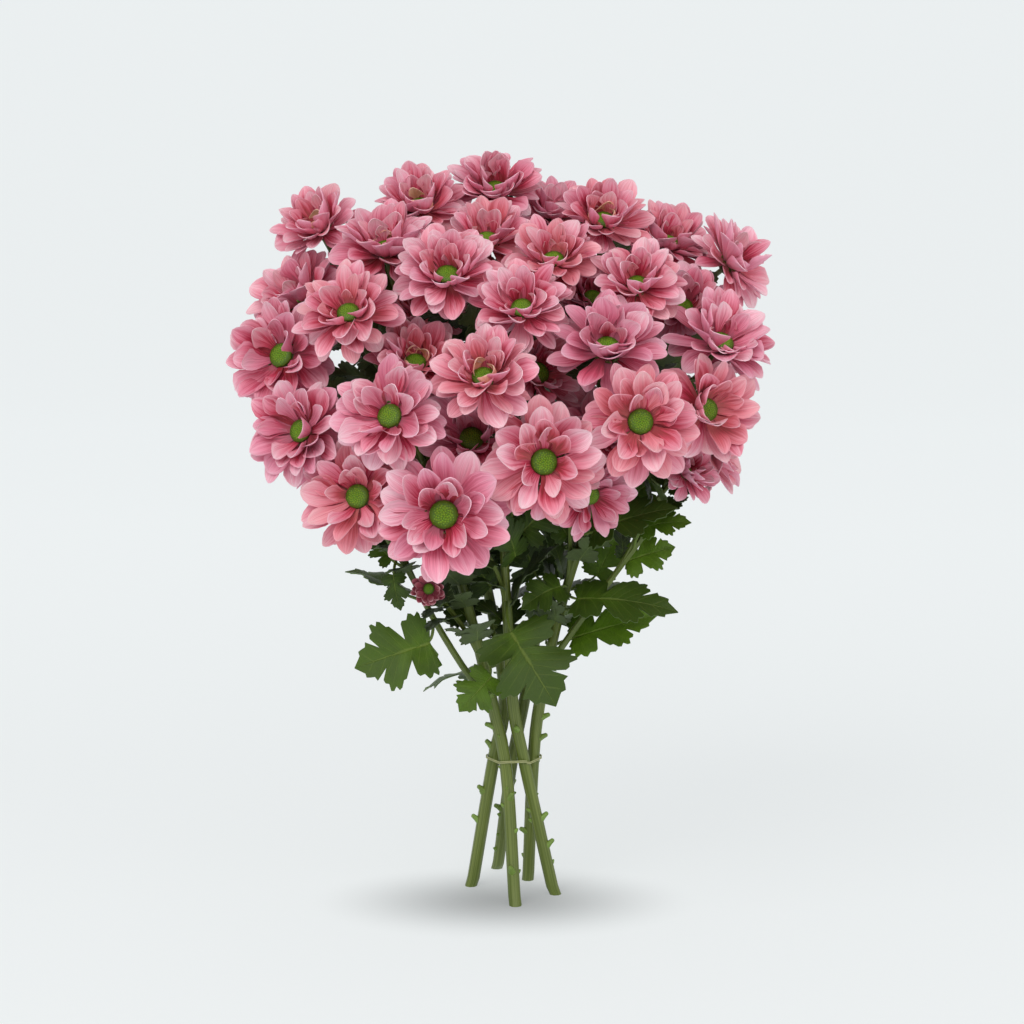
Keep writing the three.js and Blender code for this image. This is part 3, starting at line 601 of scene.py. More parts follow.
def run_tube(gather, template, path, radii, tint=(0, 0, 0), finish=0, ground=False):
    """Bends a tube along a path; radii are given at even steps from its start to its end."""
    lengths = np.concatenate([[0], np.cumsum(np.linalg.norm(np.diff(path, axis=0), axis=1))])
    marks = np.linspace(0, lengths[-1], template.rings + 1)
    spots = np.array([[np.interp(m, lengths, path[:, k]) for k in range(3)] for m in marks])
    widths = np.interp(np.linspace(0, 1, template.rings + 1), np.linspace(0, 1, len(radii)), radii)
    along = np.gradient(spots, axis=0)
    along /= np.linalg.norm(along, axis=1)[:, None]
    across = [square_to(along[0])[0]]
    for way in along[1:]:
        across.append(unit(across[-1] - way * across[-1].dot(way)))
    across = np.array(across)
    other = np.cross(along, across)
    ring = np.rint(template.points[:, 2] * template.rings).astype(int)
    points = (spots[ring] + across[ring] * (template.points[:, :1] * widths[ring, None])
              + other[ring] * (template.points[:, 1:2] * widths[ring, None]))
    if ground:
        points[:, 2] = np.maximum(points[:, 2], 0)
    gather.add(template, points, tint, finish)


def stand(template, centre, axis, scale, turn=0.0):
    """A turned shape's points, standing at a place along an axis."""
    side, up = square_to(axis)
    c, s = math.cos(turn), math.sin(turn)
    x, y, z = (template.points * scale).T
    return centre + np.outer(x * c - y * s, side) + np.outer(x * s + y * c, up) + np.outer(z, axis)


def bend_petal(template, flower, azimuth, rise, length, half, cup, curl, start, thick, seed):
    """A petal's points: its middle line rises from the ring and curls, its sides cup upwards."""
    radius, height = start[0] * flower.scale, start[1] * flower.scale
    steps = np.linspace(0, 1, 17)
    bow = curl * (0.4 + 1.2 * chance(seed, 11)) + 36 * (chance(seed, 12) - 0.5)
    angles = np.radians(rise + bow * (steps - 0.6))
    middle = (angles[1:] + angles[:-1]) / 2
    reach = radius + length * np.concatenate([[0], np.cumsum(np.cos(middle))]) / 16
    raise_ = height + length * np.concatenate([[0], np.cumsum(np.sin(middle))]) / 16
    across, along, deep = template.points.T
    angle = np.interp(along, steps, angles)
    sway = azimuth + math.radians(26) * (chance(seed, 3) - 0.5) * along
    axis, (e1, e2) = flower.axis, flower.sides
    out = np.outer(np.cos(sway), e1) + np.outer(np.sin(sway), e2)
    side = np.cross(out, axis)
    ruffle = 0.05 * np.sin(7 * along + 6.28 * chance(seed, 4)) * across * (1 if chance(seed, 5) > 0.5 else -1)
    lifted = half * (cup * across ** 2 + ruffle) + deep * thick * (1 - 0.45 * across ** 2)
    twist = half * across * math.radians(84) * (chance(seed, 6) - 0.5) * along
    depth = lifted + twist
    far = np.interp(along, steps, reach) - depth * np.sin(angle)
    tall = np.interp(along, steps, raise_) + depth * np.cos(angle)
    return flower.at + axis * tall[:, None] + out * far[:, None] + side * (half * across)[:, None]


def leaf_points(template, base, along, side, over, length, width, seed):
    """A leaf's points: arched along the midrib, folded up beside it, wavy and drooping at the edge."""
    x, y, deep = template.points.T
    out = np.abs(x)
    wave = LEAF_FORM["wave"] * np.sin(11 * y + 6 * chance(seed, 1) + 3 * (x > 0)) * out * 2
    droop = LEAF_FORM["droop"] * out ** 2 * (1 + chance(seed, 2))
    lifted = (out * LEAF_FORM["fold"] * width + LEAF_FORM["arch"] * length * 4 * y * (1 - y)
              + (wave - droop) * width + deep * LEAF_THICK)
    sway = 0.24 * (chance(seed, 3) - 0.5) * length * y ** 2
    return base + np.outer(y * length, along) + np.outer(x * width + sway, side) + np.outer(lifted, over)


def tints(one, two, three):
    """The three shading values of each point; the last one is given for every point."""
    return np.column_stack([np.full(len(three), one), np.full(len(three), two), three])


def add_layers(gather, flower, layers, number, extra, template, hue, finish=0):
    """Lays a flower's petals from the outside in, each clear of other pieces if it can be."""
    below = {}
    for depth, (count, reach, half, rise, play, cup, curl, radius, height) in enumerate(layers):
        step = 2 * math.pi / count
        first = chance(number, depth + 1) * step
        settled = {}
        for k in range(count):
            seed = number * 140 + depth * 20 + k
            azimuth = first + k * step + step * 0.45 * (chance(seed, 1) - 0.5)
            rest = (rise + extra + play * (chance(seed, 2) - 0.5) + flower.lift * 0.18
                    + HANG * math.sin(azimuth) + OPENNESS * (chance(number, 33) - 0.5))
            near = [r for a, r in below.items() if math.cos(a - azimuth) > 0.75]
            rest = max([rest] + [r + LAYER_STEP for r in near])
            full = (flower.width / 2 - radius * flower.scale) / math.cos(math.radians(18)) * reach
            full *= 1.06 - 0.22 * chance(seed, 7)
            shifts = SHIFTS if depth == 0 else [s for s in SHIFTS if s >= 0]
            wide = half * flower.scale * (0.8 + 0.36 * chance(seed, 8))
            for shorter, shift in itertools.product(SHORTER, shifts):
                taken = min(rest + shift, max(STEEPEST, rise))
                points = bend_petal(template, flower, azimuth, taken, full * shorter,
                                    wide * (0.6 + 0.4 * shorter), cup, curl, (radius, height),
                                    PETAL_THICK, seed)
                if is_clear(flower.name, template, points):
                    break
            settled[azimuth] = taken
            under = (template.points[:, 2] < 0).astype(float)
            tone = min(1, max(0, hue + 0.5 * (chance(seed, 9) - 0.5)))
            gather.add(template, points, tints(tone, chance(seed, 10), under), finish)
        below = settled


class Value:
    """A socket of a material's nodes, with the arithmetic of numbers."""

    def __init__(self, tree, socket):
        self.tree, self.socket = tree, socket

    def _math(self, operation, other=None, swapped=False):
        node = self.tree.nodes.new("ShaderNodeMath")
        node.operation = operation
        pair = [self] if other is None else [other, self] if swapped else [self, other]
        for socket, value in zip(node.inputs, pair):
            put(self.tree, socket, value)
        return Value(self.tree, node.outputs[0])

    def __add__(self, other):
        return self._math("ADD", other)

    def __sub__(self, other):
        return self._math("SUBTRACT", other)

    def __rsub__(self, other):
        return self._math("SUBTRACT", other, True)

    def __mul__(self, other):
        return self._math("MULTIPLY", other)

    def __pow__(self, other):
        return self._math("POWER", other)

    def __abs__(self):
        return self._math("ABSOLUTE")

    __radd__ = __add__
    __rmul__ = __mul__

    def fraction(self):
        return self._math("FRACT")

    def sine(self):
        return self._math("SINE")

    def between(self, low, high):
        """From 0 at low to 1 at high, smoothly."""
        node = self.tree.nodes.new("ShaderNodeMapRange")
        node.interpolation_type = "SMOOTHSTEP"
        put(self.tree, node.inputs["Value"], self)
        node.inputs["From Min"].default_value = low
        node.inputs["From Max"].default_value = high
        return Value(self.tree, node.outputs["Result"])


def put(tree, socket, value):
    """Links a value to a socket, or sets the socket to it."""
    if isinstance(value, Value):
        tree.links.new(value.socket, socket)
    elif isinstance(value, (tuple, list)) and len(socket.default_value) == 4 and len(value) == 3:
        socket.default_value = (*value, 1)
    else:
        socket.default_value = value


class Finish:
    """A node material built round one Principled shader."""

    def __init__(self, name, **constants):
        self.material = bpy.data.materials.new(name)
        self.material.use_nodes = True
        self.tree = self.material.node_tree
        self.shader = self.tree.nodes["Principled BSDF"]
        for socket, value in constants.items():
            label = socket.replace("_", " ").title().replace("Ior", "IOR")
            put(self.tree, self.shader.inputs[label], value)

    def node(self, kind, settings=None, inputs=None, output=0):
        node = self.tree.nodes.new(kind)
        for name, value in (settings or {}).items():
            setattr(node, name, value)
        for name, value in (inputs or {}).items():
            put(self.tree, node.inputs[name], value)
        return Value(self.tree, node.outputs[output])

    def uv(self):
        return self.parts(self.node("ShaderNodeUVMap", {"uv_map": "UVMap"}))

    def tint(self):
        return self.parts(self.node("ShaderNodeAttribute", {"attribute_name": "tint"}, output=1))

    def place(self):
        return self.node("ShaderNodeTexCoord", output=3)

    def parts(self, vector):
        node = self.tree.nodes.new("ShaderNodeSeparateXYZ")
        put(self.tree, node.inputs[0], vector)
        return [Value(self.tree, socket) for socket in node.outputs]

    def vector(self, x, y, z):
        return self.node("ShaderNodeCombineXYZ", inputs={0: x, 1: y, 2: z})

    def noise(self, vector, scale, detail=2.0):
        return self.node("ShaderNodeTexNoise", inputs={"Vector": vector, "Scale": scale, "Detail": detail})

    def mix(self, factor, one, two, blend="MIX"):
        return self.node("ShaderNodeMix", {"data_type": "RGBA", "blend_type": blend},
                         {0: factor, 6: one, 7: two}, output=2)

    def ramp(self, value, stops):
        node = self.tree.nodes.new("ShaderNodeValToRGB")
        elements = node.color_ramp.elements
        while len(elements) < len(stops):
            elements.new(1)
        for element, (place, colour) in zip(elements, stops):
            element.position = place
            element.color = (*colour, 1)
        put(self.tree, node.inputs[0], value)
        return Value(self.tree, node.outputs[0])

    def finish(self, colour, roughness=None, height=None, distance=0.0003, strength=1.0):
        put(self.tree, self.shader.inputs["Base Color"], colour)
        if roughness is not None:
            put(self.tree, self.shader.inputs["Roughness"], roughness)
        if height is not None:
            bump = self.node("ShaderNodeBump",
                             inputs={"Height": height, "Distance": distance, "Strength": strength})
            put(self.tree, self.shader.inputs["Normal"], bump)
        return self.material


def linear(red, green, blue):
    """A linear colour from its values out of 255 on a screen."""
    return tuple(c / 255 / 12.92 if c <= 10 else ((c / 255 + 0.055) / 1.055) ** 2.4
                 for c in (red, green, blue))


def petal_finish(name, colours):
    """Petal skin: deep at the root, its own deep rose and painted shade of the crevices between petals, pale
    at the rim, with fine veins along it.
    """
    base, *_, edge, warm, back = colours
    f = Finish(name, roughness=0.5, sheen_weight=0.12)
    across, along, _ = f.uv()
    hue, light, under = f.tint()
    streak = f.noise(f.vector(across * PETAL_STREAKS + hue * 31, along * 1.1, light * 17), 1.0, 3.0)
    vein = f.noise(f.vector(across * PETAL_VEINS + light * 29, along * 1.6, hue * 13), 1.0, 1.0)
    place = along + (streak - 0.5) * 0.8 + (light - 0.5) * 0.42
    colour = f.ramp(place, list(zip(PETAL_BANDS, colours)))
    colour = f.mix(hue.between(0.35, 1.0) * 0.36, colour, warm)
    colour = f.mix((1 - hue.between(0.0, 0.4)) * 0.35, colour, back)
    rim = abs(across * 2 - 1).between(0.7, 1.0) * 0.17 * along.between(0.25, 0.8)
    colour = f.mix(rim, colour, edge)
    colour = f.mix(vein.between(0.45, 0.7) * 0.25, colour, base)
    colour = f.mix(under * 0.5, colour, back)
    return f.finish(colour, height=vein * 0.5 + streak * 0.5, distance=0.00035, strength=0.6)


def bark_finish(settings):
    """Green stem skin with pale ribs, brownish nodes and fine lengthwise streaks."""
    f = Finish("stem_skin", roughness=0.42)
    _, light, kind = f.tint()
    around, along, _ = f.uv()
    turn = around * (2 * math.pi)
    fine = f.noise(f.vector(turn.sine() * 5, (turn + math.pi / 2).sine() * 5, along * 9 + light * 7),
                   1.0, 2.0)
    x, y, z = f.parts(f.place())
    broad = f.noise(f.vector(x * 60, y * 60, z * 18), 1.0, 2.0)
    colour = f.mix(fine.between(0.35, 0.72) * 0.5, tuple(settings.stem), tuple(settings.stem_rib))
    colour = f.mix(broad.between(0.4, 0.7) * 0.3, colour, linear(72, 90, 28))
    colour = f.mix(kind, colour, linear(118, 150, 58))
    colour = f.mix(light * 0.6, colour, linear(52, 82, 34))
    return f.finish(colour, height=fine, distance=0.0005, strength=0.5)


def leaf_finish(settings):
    """Leaf skin with a pale midrib, side veins that run to the teeth, and blotches of green."""
    f = Finish("leaf_skin", roughness=0.5, specular_ior_level=0.3)
    across, along, _ = f.uv()
    light, seed, under = f.tint()
    out = abs(across * 2 - 1)
    teeth = len(LEAF_TEETH)
    rows = 3 * teeth + 1
    side = abs((along * (rows / 3) - 2 / 3 + 0.5).fraction() - 0.5)
    veins = (1 - side.between(0.02, 0.08)) * (1 - out.between(0.5, 0.95)) * 0.12
    rib = 1 - out.between(0.015, 0.07)
    blotch = f.noise(f.vector(across * 3 + seed * 40, along * 5, seed * 11), 1.0, 3.0)
    fine = f.noise(f.vector(across * 40 + seed * 9, along * 90, seed), 1.0, 2.0)
    inner = (1 - out.between(0.0, 0.8)) * 0.42 * (1 - along.between(0.4, 0.9)) * blotch.between(0.3, 0.6)
    # Painted light and shade: each leaf's lightness mixes its colour from the shaded dark green to the
    # backlit light green
    colour = f.mix(light * 0.9 + inner, tuple(settings.leaf_dark), tuple(settings.leaf_light))
    colour = f.mix(blotch.between(0.35, 0.75) * 0.4, colour, linear(52, 70, 26))
    colour = f.mix(veins, colour, tuple(settings.leaf_vein))
    colour = f.mix(rib * (0.6 - 0.35 * along), colour, tuple(settings.leaf_vein))
    colour = f.mix(under * 0.45, colour, linear(118, 134, 92))
    height = fine * 0.35 - veins * 1.6 - rib * 0.8
    return f.finish(colour, height=height, distance=0.0006, strength=0.8)


def disc_finish(settings):
    """The green button's tight florets, with painted light and shade: bright on their tops and darker down in
    between.
    """
    f = Finish("button_green", roughness=0.55)
    crest, seed, ring = f.tint()
    grain = f.noise(f.place(), 1400.0, 2.0)
    colour = f.mix(crest, linear(66, 104, 4), tuple(settings.button))
    colour = f.mix(ring.between(0.75, 1.0) * 0.5, colour, linear(62, 96, 8))
    colour = f.mix(seed * 0.35, colour, linear(124, 158, 22))
    return f.finish(colour, height=grain, distance=0.0002, strength=0.6)


def twine_finish(settings):
    """Pale plant fibre with short twisted streaks."""
    f = Finish("twine_fibre", roughness=0.85)
    x, y, z = f.parts(f.place())
    fibre = f.noise(f.vector(x * 500, y * 500, z * 2600), 1.0, 3.0)
    colour = f.mix(fibre, tuple(settings.twine), linear(150, 150, 100))
    return f.finish(colour, height=fibre, distance=0.0003)


def backdrop_finish(name, tone):
    """Studio paper with a hardly visible grain and a painted soft shadow in its colour and glow under the
    foot of the bunch.
    """
    f = Finish(name, roughness=0.95, specular_ior_level=0.1, emission_strength=PAPER_GLOW)
    place = f.place()
    x, y, z = f.parts(place)
    ahead = y + SHADE_AHEAD
    far = (x * x + ahead * ahead * SHADE_FLAT + z * z) ** 0.5
    # Painted shadow: the paper's colour and glow darken towards the foot of the bunch
    shade = (1 - far.between(0.0, SHADE_RADIUS)) * SHADE_DEPTH
    grain = f.noise(place, 3.0, 2.0)
    matte = tuple(c * PAPER_MATTE for c in tone)
    colour = f.mix(grain * 0.1, matte, tuple(c * 0.9 for c in matte))
    colour = f.mix(shade, colour, tuple(c * 0.3 for c in matte))
    glow = f.mix(y.between(-0.3, 1.8), tuple(c * PAPER_NEAR for c in tone), tuple(tone))
    put(f.tree, f.shader.inputs["Emission Color"], f.mix(shade, glow, tuple(c * 0.1 for c in tone)))
    return f.finish(colour)


def swatch(name, description, red, green, blue):
    """A colour setting with its default out of 255."""
    return FloatVectorProperty(name=name, description=description, subtype="COLOR", min=0, max=1,
                               default=linear(red, green, blue))


class PetalSettings(bpy.types.PropertyGroup):
    # The root and deep colours are partly the petal's own deep rose and partly painted shade of the crevices
    # between petals
    root: swatch("Root colour", "Colour at the foot of a petal", 147, 7, 36)
    deep: swatch("Deep colour", "Colour of the lower part of a petal", 202, 56, 91)
    body: swatch("Body colour", "Colour of the middle of a petal", 239, 148, 172)
    tip: swatch("Tip colour", "Colour towards the tip of a petal", 251, 199, 214)
    edge: swatch("Edge colour", "Colour of the rim of a petal", 253, 217, 227)
    warm: swatch("Warm colour", "Salmon tone of some petals", 244, 156, 150)
    back: swatch("Back colour", "Colour of the underside", 233, 160, 190)


class GreenSettings(bpy.types.PropertyGroup):
    stem: swatch("Stem colour", "Ground colour of the stems", 86, 102, 30)
    stem_rib: swatch("Rib colour", "Colour of the stems' ribs", 138, 150, 78)
    leaf_dark: swatch("Dark leaf", "Colour of a shaded leaf", 34, 50, 16)
    leaf_light: swatch("Light leaf", "Colour of a backlit leaf", 98, 134, 26)
    leaf_vein: swatch("Vein colour", "Colour of midrib and veins", 132, 150, 68)
    button: swatch("Button colour", "Colour of the flowers' centres", 104, 150, 8)
    twine: swatch("Twine colour", "Colour of the tie", 184, 190, 140)
    stem_radius: FloatProperty(name="Stem radius", description="Radius of a main stem at its foot",
                               unit="LENGTH", min=0.002, max=0.006, default=0.0042)
    stalk_radius: FloatProperty(name="Stalk radius", description="Radius of a flower's stalk",
                                unit="LENGTH", min=0.001, max=0.003, default=0.0016)
    knobs: IntProperty(name="Knobs", description="Small leaf scars on each bare stem",
                       min=0, max=30, default=9)


class StageSettings(bpy.types.PropertyGroup):
    tone: swatch("Paper colour", "Colour of floor and backdrop", 231, 235, 236)
    key: FloatProperty(name="Key light", description="Power of the large light from the upper left",
                       unit="POWER", min=0, default=29)
    fill: FloatProperty(name="Fill light", description="Power of the light from the right",
                        unit="POWER", min=0, default=12)
    lens: FloatProperty(name="Lens", description="Focal length of the camera in millimetres",
                        min=10, default=80)


# How each template is made; turned shapes have their radii and heights in millimetres
TEMPLATE_MAKERS = {
    "petal": lambda: petal_template(PETAL_ROWS, PETAL_WIDTHS, 4),
    "bract": lambda: petal_template([0, 0.4, 0.75, 1], [0.8, 1.0, 0.7, 0.1], 2),
    "leaf": leaf_template,
    "leaflet": lambda: leaf_template(4),
    "stem": lambda: tube_template(16, 34, 0.07),
    "stalk": lambda: tube_template(8, 12, 0.04),
    "thread": lambda: tube_template(6, 90),
    "cup": lambda: turned_template([(1.6, -9.4), (2.4, -8.9), (4.9, -7.0), (7.0, -4.2), (7.9, -1.8),
                                    (7.4, -0.8), (6.2, -0.4)], 14),
    "button": lambda: turned_template([(6.2, -0.6), (7.0, 1.0), (7.5, 2.4), (7.2, 3.2), (5.4, 4.0),
                                       (2.8, 4.4), (0.3, 4.3)], 16),
    "floret": lambda: turned_template([(0.86, -0.35), (0.7, 0.2), (0.3, 0.45)], 5),
    "stub": lambda: turned_template([(3.0, -1.5), (2.5, 1.2), (1.9, 3.2), (1.6, 5.0), (1.4, 6.3),
                                     (0.7, 6.8)], 7),
    "knob": lambda: turned_template([(2.1, -1.2), (1.5, 0.9), (0.9, 2.1), (0.4, 2.8)], 6),
}
TEMPLATES = {}


def shape(name):
    """A template by name, modelled the first time it is asked for."""
    if name not in TEMPLATES:
        TEMPLATES[name] = TEMPLATE_MAKERS[name]()
    return TEMPLATES[name]


def leaf_rows():
    """Every leaf as stem, root height, base, tip, width, the way its face looks and lightness."""
    rows = []
    for (stem, height, base, tip, width, turn, lift), light in zip(LEAVES_SEEN, LEAF_LIGHT):
        rows.append((stem, height, base - MIDDLE, tip - MIDDLE, width, heading(turn, lift), light))
    for i, (stem, height, turn, lift, length, width) in enumerate(LEAVES_AROUND):
        root, way = at_height(stem, height)[0], heading(turn, lift)
        rows.append((stem, height, root + way * length * AROUND_STALK, root + way * length, width,
                     heading(turn, AROUND_FACE), 0.25 + 0.5 * chance(i, 77)))
    return rows


class BUNCH_OT_stems(bpy.types.Operator):
    """Makes the ribbed stems, side shoots, stalks, cups and the stubs of stripped leaves"""
    bl_idname = "bunch.stems"
    bl_label = "Stems"

    def execute(self, context):
        green = context.scene.bunch_green
        skin = bark_finish(green)
        foot, stalk = green.stem_radius / MM, green.stalk_radius / MM
        for name in STEMS:
            gather = Gather()
            path = PATHS[name]
            below = path[0] + (path[0] - path[1]) * 2
            run_tube(gather, shape("stem"), np.vstack([below, path]), [foot * share for share in STEM_TAPER],
                     ground=True)
            for shoot in members(name)[1:]:
                run_tube(gather, shape("stalk"), PATHS[shoot], SHOOT_RADII, (0, 0.2, 0))
            set_down(f"stem_{name}", gather)
            for stub_stem, height, turn in STUBS:
                if stub_stem == name:
                    self.add_knob(gather, "stub", name, height, turn, 1.0)
            for k in range(green.knobs):
                height = KNOBS_FROM + (k + 0.6 * chance(k, ord(name))) * KNOBS_SPAN / green.knobs
                self.add_knob(gather, "knob", name, height, 360 * chance(k + 3, ord(name) + 7),
                              0.7 + 0.6 * chance(k, 5))
            for number, flower in enumerate(BLOOMS):
                if flower.parent in members(name):
                    part = self.stalk_and_cup(flower, number, stalk)
                    set_down(flower.name, part)
                    gather.join(part)
            gather.piece(f"branch_{name}", [skin], "stem_green", f"stem_{name}")
        return {"FINISHED"}

    def add_knob(self, gather, kind, name, height, turn, scale):
        point, along = at_height(name, height)
        out = heading(turn, 0)
        out = unit(out - along * out.dot(along))
        form = shape(kind)
        start = point + out * (STUB_SUNK if kind == "stub" else KNOB_SUNK)
        points = stand(form, start, unit(out + along * STUB_LEAN), scale)
        gather.add(form, points, (0, 0, 0.5 + 0.5 * chance(int(height), 2)))

    def stalk_and_cup(self, flower, number, radius):
        part, cup, bract = Gather(), shape("cup"), shape("bract")
        run_tube(part, shape("stalk"), flower.stalk(), [radius * share for share in STALK_TAPER],
                 (0, 0.3 * chance(number, 1), 0))
        part.add(cup, stand(cup, flower.at, flower.axis, flower.scale), (0, 0.4, 0))
        for row, (count, rise, length, start, height) in enumerate(BRACTS):
            for k in range(count):
                azimuth = 2 * math.pi * (k + 0.5 * row) / count
                points = bend_petal(bract, flower, azimuth, rise, length * flower.scale, 2.6 * flower.scale,
                                    0.2, 20, (start, height), 0.7, number * 31 + k)
                part.add(bract, points, (0, 0.55 + 0.3 * chance(k, number), 0))
        return part


class BUNCH_OT_leaves(bpy.types.Operator):
    """Makes the lobed leaves with their stalks"""
    bl_idname = "bunch.leaves"
    bl_label = "Leaves"

    def execute(self, context):
        green = context.scene.bunch_green
        skins = [leaf_finish(green), bpy.data.materials["stem_skin"]]
        rows = leaf_rows()
        for name in STEMS:
            gather = Gather()
            for number, row in enumerate(rows):
                if row[0] in members(name):
                    self.add_leaf(gather, number, *row[1:], row[0])
            set_down(f"leaves_{name}", gather)
            gather.piece(f"leaves_{name}", skins, "stem_green", f"stem_{name}", smooth=60)
        return {"FINISHED"}

    def add_leaf(self, gather, number, height, base, tip, width, face, light, stem):
        form = shape("leaf")
        length = np.linalg.norm(tip - base)
        along = (tip - base) / length
        side = unit(np.cross(along, face))
        over = np.cross(side, along)
        points = leaf_points(form, base, along, side, over, length, width, number)
        gather.add(form, points, tints(light, chance(number, 4), form.points[:, 2] < 0))
        root, up = at_height(stem, height)
        reach = np.linalg.norm(base - root)
        line = curve(root, root + up * reach * 0.1, base - along * reach * 0.3,
                     base + along * min(5, length * 0.15), 12)
        run_tube(gather, shape("stalk"), line, LEAF_STALK_RADII, (0, 0.1, 0.25), finish=1)


class BUNCH_OT_buttons(bpy.types.Operator):
    """Makes the domed green buttons, each packed with small florets in a spiral"""
    bl_idname = "bunch.buttons"
    bl_label = "Buttons"

    def execute(self, context):
        skin = disc_finish(context.scene.bunch_green)
        dome, floret = shape("button"), shape("floret")
        for name in STEMS:
            gather = Gather()
            for number, flower in enumerate(BLOOMS):
                if flower.parent not in members(name):
                    continue
                whole = flower.scale * (BUD_BUTTON if flower.name == "bud" else 1)
                gather.add(dome, stand(dome, flower.at, flower.axis, whole), (0.1, 0, 0.5))
                side, up = flower.sides
                for k in range(FLORETS):
                    share = math.sqrt((k + 0.4) / FLORETS)
                    radius, turn = DISC_RADIUS * share, k * GOLDEN_ANGLE + number
                    height = DISC_HEIGHT - DISC_FALL * share ** 3
                    way = math.cos(turn) * side + math.sin(turn) * up
                    lean = unit(flower.axis + way * 0.8 * share ** 2)
                    centre = flower.at + (flower.axis * height + way * radius) * whole
                    size = whole * (0.85 + 0.3 * chance(k, number))
                    # Painted light and shade: a floret's top is lit, its foot between its neighbours shaded
                    crest = 0.35 + 0.65 * (floret.points[:, 2] > 0.2)
                    tint = tints(share, chance(k, number + 9), crest)[:, ::-1]
                    gather.add(floret, stand(floret, centre, lean, size, turn), tint)
            gather.piece(f"buttons_{name}", [skin], "stem_green", f"stem_{name}")
        return {"FINISHED"}


class BUNCH_OT_blooms(bpy.types.Operator):
    """Makes every flower's petals, the front flowers first so that they open the widest"""
    bl_idname = "bunch.blooms"
    bl_label = "Blooms"

    def execute(self, context):
        petals = context.scene.bunch_petals
        tones = [tuple(getattr(petals, part)) for part in PetalSettings.__annotations__]
        skin = petal_finish("petal_skin", tones)
        heart = petal_finish("heart_skin", [linear(*one) for one in HEART_COLOURS])
        form = shape("petal")
        for number, flower in enumerate(sorted(BLOOMS, key=lambda one: one.at[1])):
            if flower.name == "bud":
                continue
            gather = Gather()
            hue = 0.15 + 0.6 * chance(number, 21)
            layers = LAYERS[:-1] if flower.lift < OPEN_LIFT else LAYERS
            extra = HALF_OPEN.get(flower.name, 0)
            add_layers(gather, flower, layers, number + 1, extra, form, hue)
            if flower.name in HEARTS:
                add_layers(gather, flower, [HEART], number + 60, 0, form, 0.3, 1)
            set_down(flower.name + "_petals", gather)
            gather.piece(flower.name + "_petals", [skin, heart], "petal_pink", flower.name, smooth=70)
        return {"FINISHED"}


class BUNCH_OT_bud(bpy.types.Operator):
    """Makes the half open bud's curled dark petals"""
    bl_idname = "bunch.bud"
    bl_label = "Bud"

    def execute(self, context):
        skin = petal_finish("bud_skin", [linear(*one) for one in BUD_COLOURS])
        gather = Gather()
        flower = BLOOMS[-1]
        add_layers(gather, flower, BUD_LAYERS, 77, 0, shape("petal"), 0.2)
        set_down("bud_petals", gather)
        gather.piece("bud_petals", [skin], "bud_rose", "bud", smooth=70)
        return {"FINISHED"}


class BUNCH_OT_leaflets(bpy.types.Operator):
    """Makes the small upper leaves on stems and stalks, wherever they find room"""
    bl_idname = "bunch.leaflets"
    bl_label = "Small leaves"

    def execute(self, context):
        skin = bpy.data.materials["leaf_skin"]
        for name in STEMS:
            gather = Gather()
            for row, height in enumerate(UPPER_HEIGHTS):
                point, up = at_height(name, height + 8 * chance(row, ord(name)))
                self.dress(gather, point, up, UPPER_LENGTH, ord(name), row, STEM_GAP)
            for number, flower in enumerate(BLOOMS):
                if flower.parent in members(name):
                    stalk = flower.stalk()
                    for row, (share, length) in enumerate(LEAFLETS):
                        i = int(share * (len(stalk) - 1))
                        up = unit(stalk[i + 1] - stalk[i])
                        self.dress(gather, stalk[i], up, length, number, row, STALK_GAP, flower.name)
            gather.piece(f"leaflets_{name}", [skin], "stem_green", f"stem_{name}", smooth=60)
        return {"FINISHED"}

    def dress(self, gather, place, up, length, number, row, gap, owner=None):
        """Grows one small leaf from a stem, a gap off its middle, where one of its sizes finds room."""
        form = shape("leaflet")
        one, two = square_to(up)
        full = length * (0.85 + 0.3 * chance(row, number + 40))
        for tried in range(len(LEAFLET_SIZES) * LEAFLET_TURNS):
            size = full * LEAFLET_SIZES[tried // LEAFLET_TURNS]
            turn = row * GOLDEN_ANGLE + number + tried * 2 * math.pi / LEAFLET_TURNS
            out = one * math.cos(turn) + two * math.sin(turn)
            along = unit(out + up * (0.4 + 0.9 * chance(number, row + tried)))
            over = unit(up - along * up.dot(along))
            side = np.cross(along, over)
            points = leaf_points(form, place + out * gap, along, side, over, size, size * LEAFLET_WIDTH,
                                 number + row)
            if is_clear(owner, form, points):
                part = Gather()
                light = 0.3 * chance(number, row + 7) ** 2
                part.add(form, points, tints(light, chance(number, row + 4), form.points[:, 2] < 0))
                set_down(None, part)
                gather.join(part)
                break


class BUNCH_OT_tie(bpy.types.Operator):
    """Winds the thin twine twice round the five stems"""
    bl_idname = "bunch.tie"
    bl_label = "Tie"

    def execute(self, context):
        stems = [at_height(name, TIE_HEIGHT)[0] for name in STEMS]
        line = []
        for i in range(TWINE_STEPS + 1):
            angle = i / TWINE_STEPS * TWINE_TURNS * 2 * math.pi - 1.2
            out = np.array([math.cos(angle), math.sin(angle), 0])
            spot = max(stems, key=lambda p: p.dot(out)) + out * TWINE_REACH
            spot[2] = TIE_HEIGHT - 0.9 + 1.8 * i / TWINE_STEPS + 0.35 * math.sin(3 * angle)
            line.append(spot)
        gather = Gather()
        run_tube(gather, shape("thread"), np.array(line), [TWINE_RADIUS])
        gather.piece("tie_twine", [twine_finish(context.scene.bunch_green)], "twine_straw", "tie")
        return {"FINISHED"}


def facing(place, target):
    """The rotation of a light or camera that looks from a place to a target."""
    return (Vector(target) - Vector(place)).to_track_quat("-Z", "Y").to_euler()


